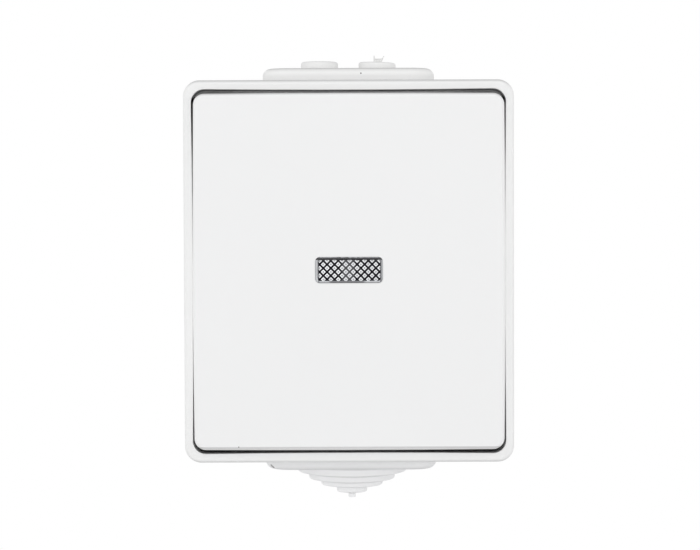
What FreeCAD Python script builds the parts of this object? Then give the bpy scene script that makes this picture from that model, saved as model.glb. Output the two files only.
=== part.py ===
import FreeCAD, Part
import math
import os

import Sketcher
from FreeCAD import Vector

# Surface-mounted weatherproof rocker push with a lit lens and rubber cable entries.
# The origin is the centre of the back face, on the wall. +X is right, +Z is up, and the
# front faces -Y. A depth is a distance from the wall towards the front, so y = -depth.
# All sizes are in millimetres and degrees.

DIMENSIONS = (
    # Cover frame
    ("frame_width", 66.0),
    ("frame_height", 76.5),
    ("frame_corner", 3.3),
    ("frame_length", 15.0),
    ("frame_side_border", 1.65),
    ("frame_end_border", 1.87),
    ("frame_edge_round", 0.9),
    ("frame_lip_round", 0.15),
    ("frame_side_bow", 0.2),
    ("frame_end_bow", 0.18),
    ("well_corner", 2.6),
    ("well_length", 10.0),
    ("floor_thickness", 1.6),
    ("floor_window_width", 38.0),
    ("floor_window_height", 28.0),
    ("floor_window_corner", 3.0),
    # Back box
    ("box_depth", 35.2),
    ("box_wall", 2.0),
    ("box_back", 2.2),
    ("box_clearance", 0.2),
    ("box_corner", 2.4),
    ("box_edge_round", 0.8),
    ("entry_width", 29.5),
    ("entry_length", 20.0),
    ("entry_corner", 3.0),
    ("entry_depth", 18.0),
    ("collar_wall", 2.0),
    ("collar_rise", 2.4),
    ("fixing_slot_width", 4.4),
    ("fixing_slot_length", 7.4),
    ("fixing_spacing", 57.0),
    ("seal_thickness", 1.2),
    # Cable grommets
    ("grommet_wall", 1.1),
    ("upper_plate", 3.2),
    ("lower_plate", 3.5),
    ("lower_plate_shift", 0.33),
    ("grommet_corner", 5.0),
    ("grommet_round", 1.6),
    ("grommet_fit", 0.1),
    ("grommet_lip", 0.8),
    ("grommet_lip_length", 1.0),
    ("grommet_skin", 1.2),
    ("knockout_radius", 3.95),
    ("knockout_rise", 2.0),
    ("knockout_spacing", 12.3),
    ("knockout_round", 0.45),
    ("knockout_slope_start", 0.03),
    ("knockout_slope_end", 0.3),
    ("nipple_shift", 0.5),
    ("nipple_radius_1", 11.65),
    ("nipple_radius_2", 9.2),
    ("nipple_radius_3", 6.6),
    ("nipple_radius_4", 3.25),
    ("nipple_radius_5", 0.76),
    ("nipple_rise_1", 1.6),
    ("nipple_rise_2", 1.6),
    ("nipple_rise_3", 1.35),
    ("nipple_rise_4", 1.6),
    ("nipple_rise_5", 1.25),
    ("nipple_round", 0.3),
    # Membrane in the well
    ("membrane_thickness", 1.2),
    ("membrane_rim", 0.6),
    ("membrane_fit", 0.1),
    ("membrane_collar_rise", 2.2),
    ("membrane_collar_wall", 1.2),
    # Rocker
    ("rocker_side_gap", 0.44),
    ("rocker_end_gap", 0.92),
    ("rocker_corner", 2.3),
    ("rocker_side_bow", 0.17),
    ("rocker_end_bow", 0.1),
    ("rocker_proud", 2.0),
    ("rocker_edge", 2.2),
    ("rocker_edge_round", 0.7),
    ("rocker_plate", 1.8),
    ("rocker_skirt_inset", 1.2),
    ("rocker_skirt_wall", 1.4),
    ("rocker_skirt_length", 4.6),
    ("rocker_rib", 1.0),
    ("rocker_rib_length", 1.6),
    ("rocker_rib_spacing", 30.0),
    ("rocker_travel", 4.0),
    ("pivot_behind_face", 7.5),
    ("clip_spacing", 19.0),
    ("clip_width", 1.6),
    ("clip_height", 7.0),
    ("clip_hook", 0.7),
    ("clip_hook_length", 1.2),
    # Lens
    ("lens_width", 13.5),
    ("lens_height", 5.24),
    ("lens_corner", 1.0),
    ("lens_rise", 0.4),
    ("lens_fit", 0.06),
    ("lens_sunk", 0.08),
    ("lens_border", 0.4),
    ("lens_flange", 1.0),
    ("lens_flange_thickness", 1.0),
    ("knurl_pitch", 1.055),
    ("knurl_depth", 0.42),
    ("knurl_land", 0.26),
    ("knurl_shift_x", 0.12),
    ("knurl_shift_z", 0.37),
    # Drive yoke
    ("yoke_width", 28.6),
    ("yoke_height", 23.0),
    ("yoke_corner", 2.0),
    ("yoke_plate", 1.4),
    ("yoke_gap", 2.6),
    ("yoke_window_width", 14.0),
    ("yoke_window_height", 8.0),
    ("cheek_thickness", 2.0),
    ("cheek_width", 7.0),
    ("trunnion_radius", 1.5),
    ("trunnion_length", 2.6),
    ("trunnion_margin", 0.9),
    ("foot_spacing", 20.0),
    ("foot_width", 6.0),
    ("foot_thickness", 3.0),
    # Mechanism
    ("mech_width", 40.0),
    ("mech_height", 44.0),
    ("mech_corner", 2.0),
    ("mech_back", 15.0),
    ("mech_front", 34.0),
    ("mech_cavity_width", 24.6),
    ("mech_cavity_height", 27.0),
    ("mech_cavity_floor", 25.6),
    ("mech_lug_spacing", 49.0),
    ("mech_lug_width", 8.0),
    ("mech_lug_corner", 3.6),
    ("mech_lug_thickness", 2.5),
    ("mech_cover_plate", 2.0),
    ("ear_thickness", 2.6),
    ("ear_width", 8.0),
    ("ear_gap", 0.6),
    ("ear_corner", 1.9),
    ("running_fit", 0.05),
    # Contacts
    ("plunger_width", 7.0),
    ("plunger_height", 4.6),
    ("plunger_corner", 0.4),
    ("plunger_proud", 0.4),
    ("plunger_stop", 0.3),
    ("shoulder_thickness", 1.2),
    ("shoulder_reach", 1.2),
    ("spring_pin_radius", 1.0),
    ("spring_pin_length", 1.4),
    ("plunger_back", 26.5),
    ("plunger_guide_fit", 0.1),
    ("plunger_play", 0.06),
    ("bridge_back", 28.5),
    ("bridge_thickness", 0.8),
    ("bridge_height", 3.0),
    ("contact_spacing", 17.0),
    ("contact_radius", 1.2),
    ("contact_rise", 0.6),
    ("contact_play", 0.2),
    ("contact_margin", 0.8),
    ("spring_radius", 1.9),
    ("spring_wire", 0.35),
    ("spring_turns", 6.0),
    ("spring_wire_sides", 8),
    ("spring_back", 18.0),
    ("strip_width", 4.0),
    ("strip_thickness", 0.9),
    ("terminal_spacing", 34.0),
    ("terminal_width", 6.5),
    ("terminal_height", 7.0),
    ("terminal_back", 20.1),
    ("terminal_front", 28.0),
    ("terminal_fit", 0.2),
    ("terminal_bore", 1.6),
    ("terminal_bore_depth", 23.0),
    ("access_radius", 2.5),
    # Screws
    ("cover_screw_inset", 5.85),
    ("cover_screw_radius", 1.45),
    ("cover_screw_length", 14.0),
    ("cover_head_radius", 2.8),
    ("cover_head_height", 1.9),
    ("cover_post_radius", 3.9),
    ("mech_screw_radius", 1.25),
    ("mech_screw_length", 10.0),
    ("mech_head_radius", 2.6),
    ("mech_head_height", 1.8),
    ("mech_post_radius", 3.2),
    ("terminal_screw_radius", 1.55),
    ("terminal_head_radius", 2.3),
    ("terminal_head_height", 1.6),
    ("driver_slot", 0.8),
    ("driver_slot_depth", 0.9),
    ("driver_cross_share", 0.6),
    ("driver_slot_share", 1.2),
    # Locator lamp
    ("lamp_radius", 2.0),
    ("lamp_length", 9.0),
    ("lamp_end_round", 1.6),
    ("lamp_depth", 41.6),
    ("holder_width", 12.0),
    ("holder_height", 5.6),
    ("holder_cradle", 0.15),
    ("holder_corner", 0.8),
    ("holder_below_axis", 0.6),
    ("resistor_radius", 1.1),
    ("resistor_length", 6.0),
    ("resistor_z", 5.0),
    ("lead_radius", 0.25),
    ("lead_bend", 0.8),
    ("lead_drop_x", 8.0),
    ("lead_pass_x", 11.4),
    ("lead_rise", 3.0),
    ("lead_landing", 1.0),
)

document = FreeCAD.newDocument("weatherproof_switch")


class Size:
    """A number from the sheet, or worked out from it, with the expression that gives it."""

    def __init__(self, value, text=None):
        self.value = float(value)
        self.text = str(value) if text is None else text

    def __add__(self, other):
        other = as_size(other)
        return Size(self.value + other.value, f"({self.text} + {other.text})")

    def __sub__(self, other):
        other = as_size(other)
        return Size(self.value - other.value, f"({self.text} - {other.text})")

    def __mul__(self, other):
        other = as_size(other)
        return Size(self.value * other.value, f"({self.text} * {other.text})")

    def __truediv__(self, other):
        other = as_size(other)
        return Size(self.value / other.value, f"({self.text} / {other.text})")

    def __neg__(self):
        return Size(-self.value, f"(0 - {self.text})")

    def __radd__(self, other):
        return as_size(other) + self

    def __rsub__(self, other):
        return as_size(other) - self

    def __rmul__(self, other):
        return as_size(other) * self


def as_size(number):
    return number if isinstance(number, Size) else Size(number)


def sine(angle):
    """The sine of an angle in degrees."""
    return Size(math.sin(math.radians(angle.value)), f"sin({angle.text} * 1 deg)")


class DimensionSheet:
    """The spreadsheet of driving dimensions, each one read as an attribute."""

    def __init__(self, rows):
        self.sheet = document.addObject("Spreadsheet::Sheet", "Sizes")
        for row, (alias, value) in enumerate(rows, start=1):
            self.sheet.set(f"A{row}", alias)
            self.sheet.set(f"B{row}", str(value))
            self.sheet.setAlias(f"B{row}", alias)
            setattr(self, alias, Size(value, f"Sizes.{alias}"))


size = DimensionSheet(DIMENSIONS)
document.recompute()


def origin_feature(body, role):
    return next(feature for feature in body.Origin.OriginFeatures if feature.Role == role)


def make_body(label, several=False):
    """One piece, or several like pieces that are handled as one."""
    body = document.addObject("PartDesign::Body", label)
    body.AllowCompound = several
    return body


def add_sketch(body, name, plane, offset=0, shift=(0, 0), lean=0):
    """A sketch on an origin plane, moved along its normal and in its plane, or leaned over."""
    sketch = body.newObject("Sketcher::SketchObject", f"{body.Name}_{name}_sketch")
    sketch.AttachmentSupport = [(origin_feature(body, plane), "")]
    sketch.MapMode = "FlatFace"
    turn = FreeCAD.Rotation(Vector(0, 1, 0), lean)
    sketch.AttachmentOffset = FreeCAD.Placement(Vector(0, 0, 0), turn)
    for axis, amount in zip("xyz", (*shift, offset)):
        sketch.setExpression(f"AttachmentOffset.Base.{axis}", as_size(amount).text)
    return sketch


def bind(sketch, constraint, amount):
    index = sketch.addConstraint(constraint)
    sketch.setExpression(f"Constraints[{index}]", amount.text)


def fix_point(sketch, curve, end, x, y):
    """Dimension one end of a curve from the sketch's origin."""
    for kind, amount in (("DistanceX", as_size(x)), ("DistanceY", as_size(y))):
        bind(sketch, Sketcher.Constraint(kind, -1, 1, curve, end, amount.value), amount)


def add_circle(sketch, x, y, radius):
    centre = Vector(as_size(x).value, as_size(y).value, 0)
    radius = as_size(radius)
    curve = sketch.addGeometry(Part.Circle(centre, Vector(0, 0, 1), radius.value), False)
    fix_point(sketch, curve, 3, x, y)
    bind(sketch, Sketcher.Constraint("Radius", curve, radius.value), radius)


def add_slot(sketch, x, y, width, length):
    """An upright slot with full round ends."""
    radius = width / 2
    reach = (length - width) / 2
    arcs = []
    for level, start in ((1, 0), (-1, math.pi)):
        centre = Vector(as_size(x).value, (y + level * reach).value, 0)
        circle = Part.Circle(centre, Vector(0, 0, 1), radius.value)
        arc = sketch.addGeometry(Part.ArcOfCircle(circle, start, start + math.pi), False)
        fix_point(sketch, arc, 1, x + level * radius, y + level * reach)
        fix_point(sketch, arc, 2, x - level * radius, y + level * reach)
        arcs.append(arc)
    for arc, following in ((arcs[0], arcs[1]), (arcs[1], arcs[0])):
        ends = sketch.getPoint(arc, 2), sketch.getPoint(following, 1)
        side = sketch.addGeometry(Part.LineSegment(*ends), False)
        sketch.addConstraint(Sketcher.Constraint("Tangent", arc, 2, side, 1))
        sketch.addConstraint(Sketcher.Constraint("Coincident", side, 2, following, 1))


def add_polygon(sketch, points):
    """A closed outline of straight edges."""
    corners = [Vector(as_size(x).value, as_size(y).value, 0) for x, y in points]
    curves = [
        sketch.addGeometry(Part.LineSegment(corner, corners[(number + 1) % len(corners)]), False)
        for number, corner in enumerate(corners)
    ]
    for number, curve in enumerate(curves):
        sketch.addConstraint(Sketcher.Constraint("Coincident", curves[number - 1], 2, curve, 1))
        fix_point(sketch, curve, 1, *points[number])


def join_ends(sketch, curve, start, end, corner_a, end_a, corner_b, end_b):
    """Tie the two ends of a side to the corner arcs that they meet."""
    first = sketch.getPoint(curve, 1)
    order = (1, 2) if (first - start).Length < (first - end).Length else (2, 1)
    sketch.addConstraint(Sketcher.Constraint("Coincident", curve, order[0], corner_a, end_a))
    sketch.addConstraint(Sketcher.Constraint("Coincident", curve, order[1], corner_b, end_b))


def add_rectangle(sketch, x, y, width, height, corner, bows=None):
    """A rectangle with round corners. Two bows, of the upright and the level sides, swell it."""
    half_width = width / 2
    half_height = height / 2
    corner = as_size(corner)
    arcs = []
    for quarter, (side, level) in enumerate(((1, 1), (-1, 1), (-1, -1), (1, -1))):
        centre_x = x + side * (half_width - corner)
        centre_y = y + level * (half_height - corner)
        circle = Part.Circle(Vector(centre_x.value, centre_y.value, 0), Vector(0, 0, 1), corner.value)
        start = quarter * math.pi / 2
        arc = sketch.addGeometry(Part.ArcOfCircle(circle, start, start + math.pi / 2), False)
        side_end = (x + side * half_width, centre_y)
        level_end = (centre_x, y + level * half_height)
        first, last = (side_end, level_end) if side * level > 0 else (level_end, side_end)
        fix_point(sketch, arc, 1, *first)
        fix_point(sketch, arc, 2, *last)
        bind(sketch, Sketcher.Constraint("Radius", arc, corner.value), corner)
        arcs.append(arc)
    for quarter, outward in enumerate(((0, 1), (-1, 0), (0, -1), (1, 0))):
        arc = arcs[quarter]
        following = arcs[(quarter + 1) % 4]
        start = sketch.getPoint(arc, 2)
        end = sketch.getPoint(following, 1)
        if bows is None:
            curve = sketch.addGeometry(Part.LineSegment(start, end), False)
        else:
            upright = outward[0] != 0
            bow = bows[0] if upright else bows[1]
            middle = (start + end) / 2 + Vector(*outward, 0) * bow.value
            curve = sketch.addGeometry(Part.Arc(start, middle, end), False)
            chord = (height if upright else width) - 2 * corner
            sagitta = bow if bow.value > 0 else -bow
            radius = (chord * chord / 4 + sagitta * sagitta) / (2 * sagitta)
            bind(sketch, Sketcher.Constraint("Radius", curve, radius.value), radius)
        join_ends(sketch, curve, start, end, arc, 2, following, 1)


def add_plain_rectangle(sketch, x, y, half_width, half_height):
    """A rectangle with sharp corners, from its centre and half sizes."""
    left, right = x - half_width, x + half_width
    bottom, top = y - half_height, y + half_height
    add_polygon(sketch, [(left, bottom), (right, bottom), (right, top), (left, top)])


def finish_feature(body, feature, grows=None):
    """Build a feature, and stop if it failed or changed the volume the wrong way."""
    before = getattr(feature, "BaseFeature", None)
    document.recompute()
    if "Up-to-date" not in feature.State:
        raise RuntimeError(f"{body.Label}: {feature.Name} is {feature.State}")
    if grows is not None and before is not None:
        change = feature.Shape.Volume - before.Shape.Volume
        if change == 0 or (change > 0) != grows:
            raise RuntimeError(f"{body.Label}: {feature.Name} changed the volume by {change}")
    return feature


def add_pad(body, name, sketch, length, reverse=False, both=False):
    pad = body.newObject("PartDesign::Pad", f"{body.Name}_{name}")
    pad.Profile = sketch
    pad.setExpression("Length", as_size(length).text)
    pad.Reversed = reverse
    pad.Midplane = both
    return finish_feature(body, pad, grows=True)


def add_pocket(body, name, sketch, length=None, reverse=False, both=False):
    """A cut against the sketch's normal, or right through where no length is given."""
    pocket = body.newObject("PartDesign::Pocket", f"{body.Name}_{name}")
    pocket.Profile = sketch
    if length is None:
        pocket.Type = "ThroughAll"
    else:
        pocket.setExpression("Length", as_size(length).text)
    pocket.Reversed = reverse
    pocket.Midplane = both
    return finish_feature(body, pocket, grows=False)


def add_revolution(body, name, sketch, grows=True):
    """A sketch turned about its own upright axis, to add or to cut."""
    kind = "PartDesign::Revolution" if grows else "PartDesign::Groove"
    turned = body.newObject(kind, f"{body.Name}_{name}")
    turned.Profile = sketch
    turned.ReferenceAxis = (sketch, ["V_Axis"])
    turned.Angle = 360
    return finish_feature(body, turned, grows=grows)


def add_edge_round(body, name, radius, chosen, kind="Fillet"):
    """Round or bevel the edges of the body that the test chosen picks."""
    base = body.Tip
    edges = [f"Edge{n}" for n, edge in enumerate(base.Shape.Edges, start=1) if chosen(edge)]
    rounded = body.newObject(f"PartDesign::{kind}", f"{body.Name}_{name}")
    rounded.Base = (base, edges)
    rounded.setExpression("Radius" if kind == "Fillet" else "Size", as_size(radius).text)
    return finish_feature(body, rounded)


def add_mirror(body, name, features, plane):
    mirror = body.newObject("PartDesign::Mirrored", f"{body.Name}_{name}")
    mirror.Originals = features
    mirror.MirrorPlane = (origin_feature(body, plane), [""])
    body.Tip = mirror
    return finish_feature(body, mirror)


def add_pattern(body, name, features, sketch, axis, length, count):
    pattern = body.newObject("PartDesign::LinearPattern", f"{body.Name}_{name}")
    pattern.Originals = features
    pattern.Direction = (sketch, [axis])
    pattern.setExpression("Length", as_size(length).text)
    pattern.Occurrences = count
    body.Tip = pattern
    return finish_feature(body, pattern)


def in_plane(edge, axis, level, tolerance=1e-4):
    """Whether every end and the middle of an edge lie at one level along an axis."""
    box = edge.BoundBox
    low = getattr(box, f"{axis}Min")
    high = getattr(box, f"{axis}Max")
    return abs(low - level.value) < tolerance and abs(high - level.value) < tolerance


ZERO = Size(0)

# Depths and outlines that several pieces share
floor_back = size.box_depth + size.seal_thickness
floor_front = floor_back + size.floor_thickness
lip_depth = floor_front + size.well_length
frame_back = lip_depth - size.frame_length
well_width = size.frame_width - 2 * size.frame_side_border
well_height = size.frame_height - 2 * size.frame_end_border
box_width = well_width - 2 * size.box_clearance
box_height = well_height - 2 * size.box_clearance
face_depth = lip_depth + size.rocker_proud
pivot_depth = face_depth - size.pivot_behind_face
rocker_inner = face_depth - size.rocker_plate
rocker_edge_back = face_depth - size.rocker_edge
skirt_back = rocker_edge_back - size.rocker_skirt_length
yoke_front = rocker_inner - size.yoke_gap
yoke_back = yoke_front - size.yoke_plate
mech_cover_front = size.mech_front + size.mech_cover_plate
plunger_front = mech_cover_front + size.plunger_proud
foot_end = plunger_front + size.plunger_play
collar_top = box_height / 2 + size.collar_rise
upper_plate_top = collar_top + size.upper_plate
lower_plate_end = collar_top + size.lower_plate
rocker_width = well_width - 2 * size.rocker_side_gap
rocker_height = well_height - 2 * size.rocker_end_gap
rocker_bows = (size.rocker_side_bow, size.rocker_end_bow)
well_bows = (-size.frame_side_bow, -size.frame_end_bow)
rocker_swing = rocker_height / 2 * sine(size.rocker_travel)
foot_swing = size.foot_spacing / 2 * sine(size.rocker_travel)
strip_front = size.mech_cavity_floor + size.strip_thickness
fixed_contact_front = size.bridge_back - size.contact_rise - foot_swing - size.contact_play
cover_screw_x = well_width / 2 - size.cover_screw_inset
cover_screw_z = well_height / 2 - size.cover_screw_inset
cover_screw_places = ((-cover_screw_x, cover_screw_z), (cover_screw_x, -cover_screw_z))
terminal_places = tuple(
    (side * size.contact_spacing / 2, level * size.terminal_spacing / 2)
    for side in (-1, 1)
    for level in (-1, 1)
)


def make_back_box():
    """The box on the wall, with collars round its two cable entries."""
    body = make_body("back_box")
    shell = add_sketch(body, "shell", "XZ_Plane")
    add_rectangle(shell, ZERO, ZERO, box_width, box_height, size.box_corner)
    add_pad(body, "shell", shell, size.box_depth)
    add_edge_round(body, "back_edge", size.box_edge_round, lambda edge: in_plane(edge, "Y", ZERO))

    collar_outline = add_sketch(body, "collar", "XY_Plane", box_height / 2 - size.box_wall / 2)
    add_rectangle(
        collar_outline,
        ZERO,
        -size.entry_depth,
        size.entry_width + 2 * size.collar_wall,
        size.entry_length + 2 * size.collar_wall,
        size.entry_corner + size.collar_wall,
    )
    collar = add_pad(body, "collar", collar_outline, size.box_wall / 2 + size.collar_rise)
    add_mirror(body, "collars", [collar], "XY_Plane")

    cavity = add_sketch(body, "cavity", "XZ_Plane", size.box_depth)
    inner_corner = size.box_corner - size.box_wall / 2
    inner_width = box_width - 2 * size.box_wall
    inner_height = box_height - 2 * size.box_wall
    add_rectangle(cavity, ZERO, ZERO, inner_width, inner_height, inner_corner)
    add_pocket(body, "cavity", cavity, size.box_depth - size.box_back)

    entries = add_sketch(body, "entries", "XY_Plane")
    add_rectangle(
        entries, ZERO, -size.entry_depth, size.entry_width, size.entry_length, size.entry_corner
    )
    add_pocket(body, "entries", entries, both=True)

    cover_posts = add_sketch(body, "cover_posts", "XZ_Plane", size.box_back / 2)
    for x, z in cover_screw_places:
        add_circle(cover_posts, x, z, size.cover_post_radius)
    add_pad(body, "cover_posts", cover_posts, size.box_depth - size.box_back / 2)
    cover_bores = add_sketch(body, "cover_bores", "XZ_Plane", size.box_depth)
    for x, z in cover_screw_places:
        add_circle(cover_bores, x, z, size.cover_screw_radius + size.running_fit)
    add_pocket(body, "cover_bores", cover_bores, size.cover_screw_length)

    posts = add_sketch(body, "mechanism_posts", "XZ_Plane", size.box_back / 2)
    bores = add_sketch(body, "mechanism_bores", "XZ_Plane", size.mech_back)
    for side in (-1, 1):
        x = side * size.mech_lug_spacing / 2
        add_circle(posts, x, ZERO, size.mech_post_radius)
        add_circle(bores, x, ZERO, size.mech_screw_radius + size.running_fit)
    add_pad(body, "mechanism_posts", posts, size.mech_back - size.box_back / 2)
    add_pocket(body, "mechanism_bores", bores, size.mech_screw_length)

    slots = add_sketch(body, "fixing_slots", "XZ_Plane", size.box_back)
    for level in (-1, 1):
        add_slot(
            slots,
            ZERO,
            level * size.fixing_spacing / 2,
            size.fixing_slot_width,
            size.fixing_slot_length,
        )
    add_pocket(body, "fixing_slots", slots, size.box_back)
    return body


def make_cover_frame():
    """The front frame: a deep well with a floor, and a skirt that slides over the box."""
    body = make_body("cover_frame")
    outline = add_sketch(body, "outline", "XZ_Plane", frame_back)
    add_rectangle(outline, ZERO, ZERO, size.frame_width, size.frame_height, size.frame_corner)
    add_pad(body, "outline", outline, size.frame_length)
    add_edge_round(
        body, "front_edge", size.frame_edge_round, lambda edge: in_plane(edge, "Y", -lip_depth)
    )

    well = add_sketch(body, "well", "XZ_Plane", lip_depth)
    add_rectangle(well, ZERO, ZERO, well_width, well_height, size.well_corner, well_bows)
    add_pocket(body, "well", well, size.well_length)
    half_border = size.frame_width / 2 - size.frame_edge_round
    add_edge_round(
        body,
        "lip",
        size.frame_lip_round,
        lambda edge: in_plane(edge, "Y", -lip_depth)
        and max(abs(point.X) for point in edge.Vertexes) < half_border.value
        and max(abs(point.Z) for point in edge.Vertexes) < size.frame_height.value / 2
        - size.frame_edge_round.value,
    )

    sleeve = add_sketch(body, "sleeve", "XZ_Plane", floor_back)
    add_rectangle(sleeve, ZERO, ZERO, well_width, well_height, size.well_corner)
    add_pocket(body, "sleeve", sleeve, floor_back - frame_back)

    openings = add_sketch(body, "openings", "XZ_Plane", floor_front)
    add_rectangle(
        openings,
        ZERO,
        ZERO,
        size.floor_window_width,
        size.floor_window_height,
        size.floor_window_corner,
    )
    for x, z in cover_screw_places:
        add_circle(openings, x, z, size.cover_screw_radius + size.box_clearance)
    add_pocket(body, "openings", openings, size.floor_thickness)
    return body


def make_box_seal():
    """The flat ring of foam rubber between the box's rim and the frame's floor."""
    body = make_body("box_seal")
    ring = add_sketch(body, "ring", "XZ_Plane", size.box_depth)
    inner_corner = size.box_corner - size.box_wall / 2
    add_rectangle(ring, ZERO, ZERO, box_width, box_height, size.box_corner)
    add_rectangle(
        ring,
        ZERO,
        ZERO,
        box_width - 2 * size.box_wall,
        box_height - 2 * size.box_wall,
        inner_corner,
    )
    add_pad(body, "ring", ring, size.seal_thickness)
    return body


def make_membrane():
    """The black rubber tray that lines the well and hides the gap round the rocker."""
    body = make_body("sealing_membrane")
    outer_width = well_width - 2 * size.membrane_fit
    outer_height = well_height - 2 * size.membrane_fit
    corner = size.well_corner - size.membrane_fit
    rim_front = rocker_edge_back - rocker_swing - size.membrane_rim
    sheet = add_sketch(body, "sheet", "XZ_Plane", floor_front)
    add_rectangle(sheet, ZERO, ZERO, outer_width, outer_height, corner, well_bows)
    add_pad(body, "sheet", sheet, size.membrane_thickness)

    rim = add_sketch(body, "rim", "XZ_Plane", floor_front)
    add_rectangle(rim, ZERO, ZERO, outer_width, outer_height, corner, well_bows)
    add_rectangle(
        rim,
        ZERO,
        ZERO,
        outer_width - 2 * size.membrane_rim,
        outer_height - 2 * size.membrane_rim,
        corner - size.membrane_rim,
        well_bows,
    )
    add_pad(body, "rim", rim, rim_front - floor_front)

    collar = add_sketch(body, "collar", "XZ_Plane", floor_front)
    collar_wall = size.membrane_collar_wall
    add_rectangle(
        collar,
        ZERO,
        ZERO,
        size.floor_window_width + 2 * collar_wall,
        size.floor_window_height + 2 * collar_wall,
        size.floor_window_corner + collar_wall,
    )
    add_pad(body, "collar", collar, size.membrane_thickness + size.membrane_collar_rise)
    openings = add_sketch(body, "openings", "XZ_Plane", lip_depth)
    add_rectangle(
        openings,
        ZERO,
        ZERO,
        size.floor_window_width,
        size.floor_window_height,
        size.floor_window_corner,
    )
    for x, z in cover_screw_places:
        add_circle(openings, x, z, size.cover_head_radius + size.membrane_rim / 2)
    add_pocket(body, "openings", openings)
    return body


def add_grommet_cap(body, level, plate_end, shift=ZERO):
    """The cap over an entry's collar, with a plug and a lip that hold it in the wall."""
    cap_length = size.entry_length + 2 * (size.collar_wall + size.grommet_fit + size.grommet_wall)
    cap_width = size.entry_width + 2 * (size.collar_wall + size.grommet_fit + size.grommet_wall)
    foot = box_height / 2 + size.grommet_fit
    wall_inner = box_height / 2 - size.box_wall
    upward = level > 0

    def layer(name, start, width, length, corner, rise, cut=False, x=ZERO):
        outline = add_sketch(body, name, "XY_Plane", level * start)
        add_rectangle(outline, x, -size.entry_depth, width, length, corner)
        if cut:
            return add_pocket(body, name, outline, rise, reverse=upward)
        return add_pad(body, name, outline, rise, reverse=not upward)

    layer("cap", foot, cap_width, cap_length, size.grommet_corner, plate_end - foot, x=shift)
    add_edge_round(
        body,
        "cap_edge",
        size.grommet_round,
        lambda edge: in_plane(edge, "Z", level * plate_end),
    )
    room_width = size.entry_width + 2 * (size.collar_wall + size.grommet_fit)
    room_length = size.entry_length + 2 * (size.collar_wall + size.grommet_fit)
    room_corner = size.entry_corner + size.collar_wall
    layer("collar_room", foot, room_width, room_length, room_corner, collar_top - foot, cut=True)

    plug_width = size.entry_width - 2 * size.grommet_fit
    plug_length = size.entry_length - 2 * size.grommet_fit
    plug_start = wall_inner - size.grommet_fit - size.grommet_lip_length
    layer("plug", plug_start, plug_width, plug_length, size.entry_corner, collar_top - plug_start)
    layer(
        "lip",
        plug_start,
        size.entry_width + 2 * size.grommet_lip,
        size.entry_length + 2 * size.grommet_lip,
        size.entry_corner + size.grommet_lip,
        size.grommet_lip_length,
    )
    layer(
        "hollow",
        plug_start,
        plug_width - 2 * size.grommet_wall,
        plug_length - 2 * size.grommet_wall,
        size.entry_corner - size.grommet_wall,
        plate_end - size.grommet_skin - plug_start,
        cut=True,
    )


def make_top_grommet():
    """The upper grommet, with two blind knockouts for conduit, the right one sunk a little."""
    body = make_body("top_grommet")
    add_grommet_cap(body, 1, upper_plate_top)
    knockouts = add_sketch(body, "knockouts", "XY_Plane", upper_plate_top - size.grommet_skin / 2)
    hollows = add_sketch(body, "knockout_hollows", "XY_Plane", upper_plate_top - size.grommet_skin)
    for side in (-1, 1):
        x = side * size.knockout_spacing / 2
        add_circle(knockouts, x, -size.entry_depth, size.knockout_radius)
        add_circle(
            hollows, x, -size.entry_depth, size.knockout_radius - size.grommet_wall
        )
    add_pad(body, "knockouts", knockouts, size.knockout_rise + size.grommet_skin / 2)
    knockout_top = upper_plate_top + size.knockout_rise
    slope_left = size.knockout_spacing / 2 - size.knockout_radius
    slope_right = size.knockout_spacing / 2 + size.knockout_radius
    slope = add_sketch(body, "knockout_slope", "XZ_Plane")
    add_polygon(
        slope,
        [
            (slope_left, knockout_top - size.knockout_slope_start),
            (slope_right, knockout_top - size.knockout_slope_end),
            (slope_right, knockout_top + size.knockout_slope_end),
            (slope_left, knockout_top + size.knockout_slope_end),
        ],
    )
    add_pocket(body, "knockout_slope", slope, both=True)
    slope_floor = (knockout_top - 2 * size.knockout_slope_end).value
    add_edge_round(
        body, "knockout_edge", size.knockout_round, lambda edge: edge.BoundBox.ZMin > slope_floor
    )
    add_pocket(body, "knockout_hollows", hollows, size.knockout_rise, reverse=True)
    return body


def is_outer_rim(edge, shape):
    """Whether a level circle is a rim that stands out, not the foot of a step."""
    middle = edge.valueAt((edge.FirstParameter + edge.LastParameter) / 2)
    centre = edge.Curve.Center
    outward = (middle - centre).normalize()
    step = 0.05
    beside = middle + outward * step + Vector(0, 0, -step)
    above = middle + outward * step + Vector(0, 0, step)
    return not shape.isInside(beside, 1e-6, False) and not shape.isInside(above, 1e-6, False)


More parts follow.
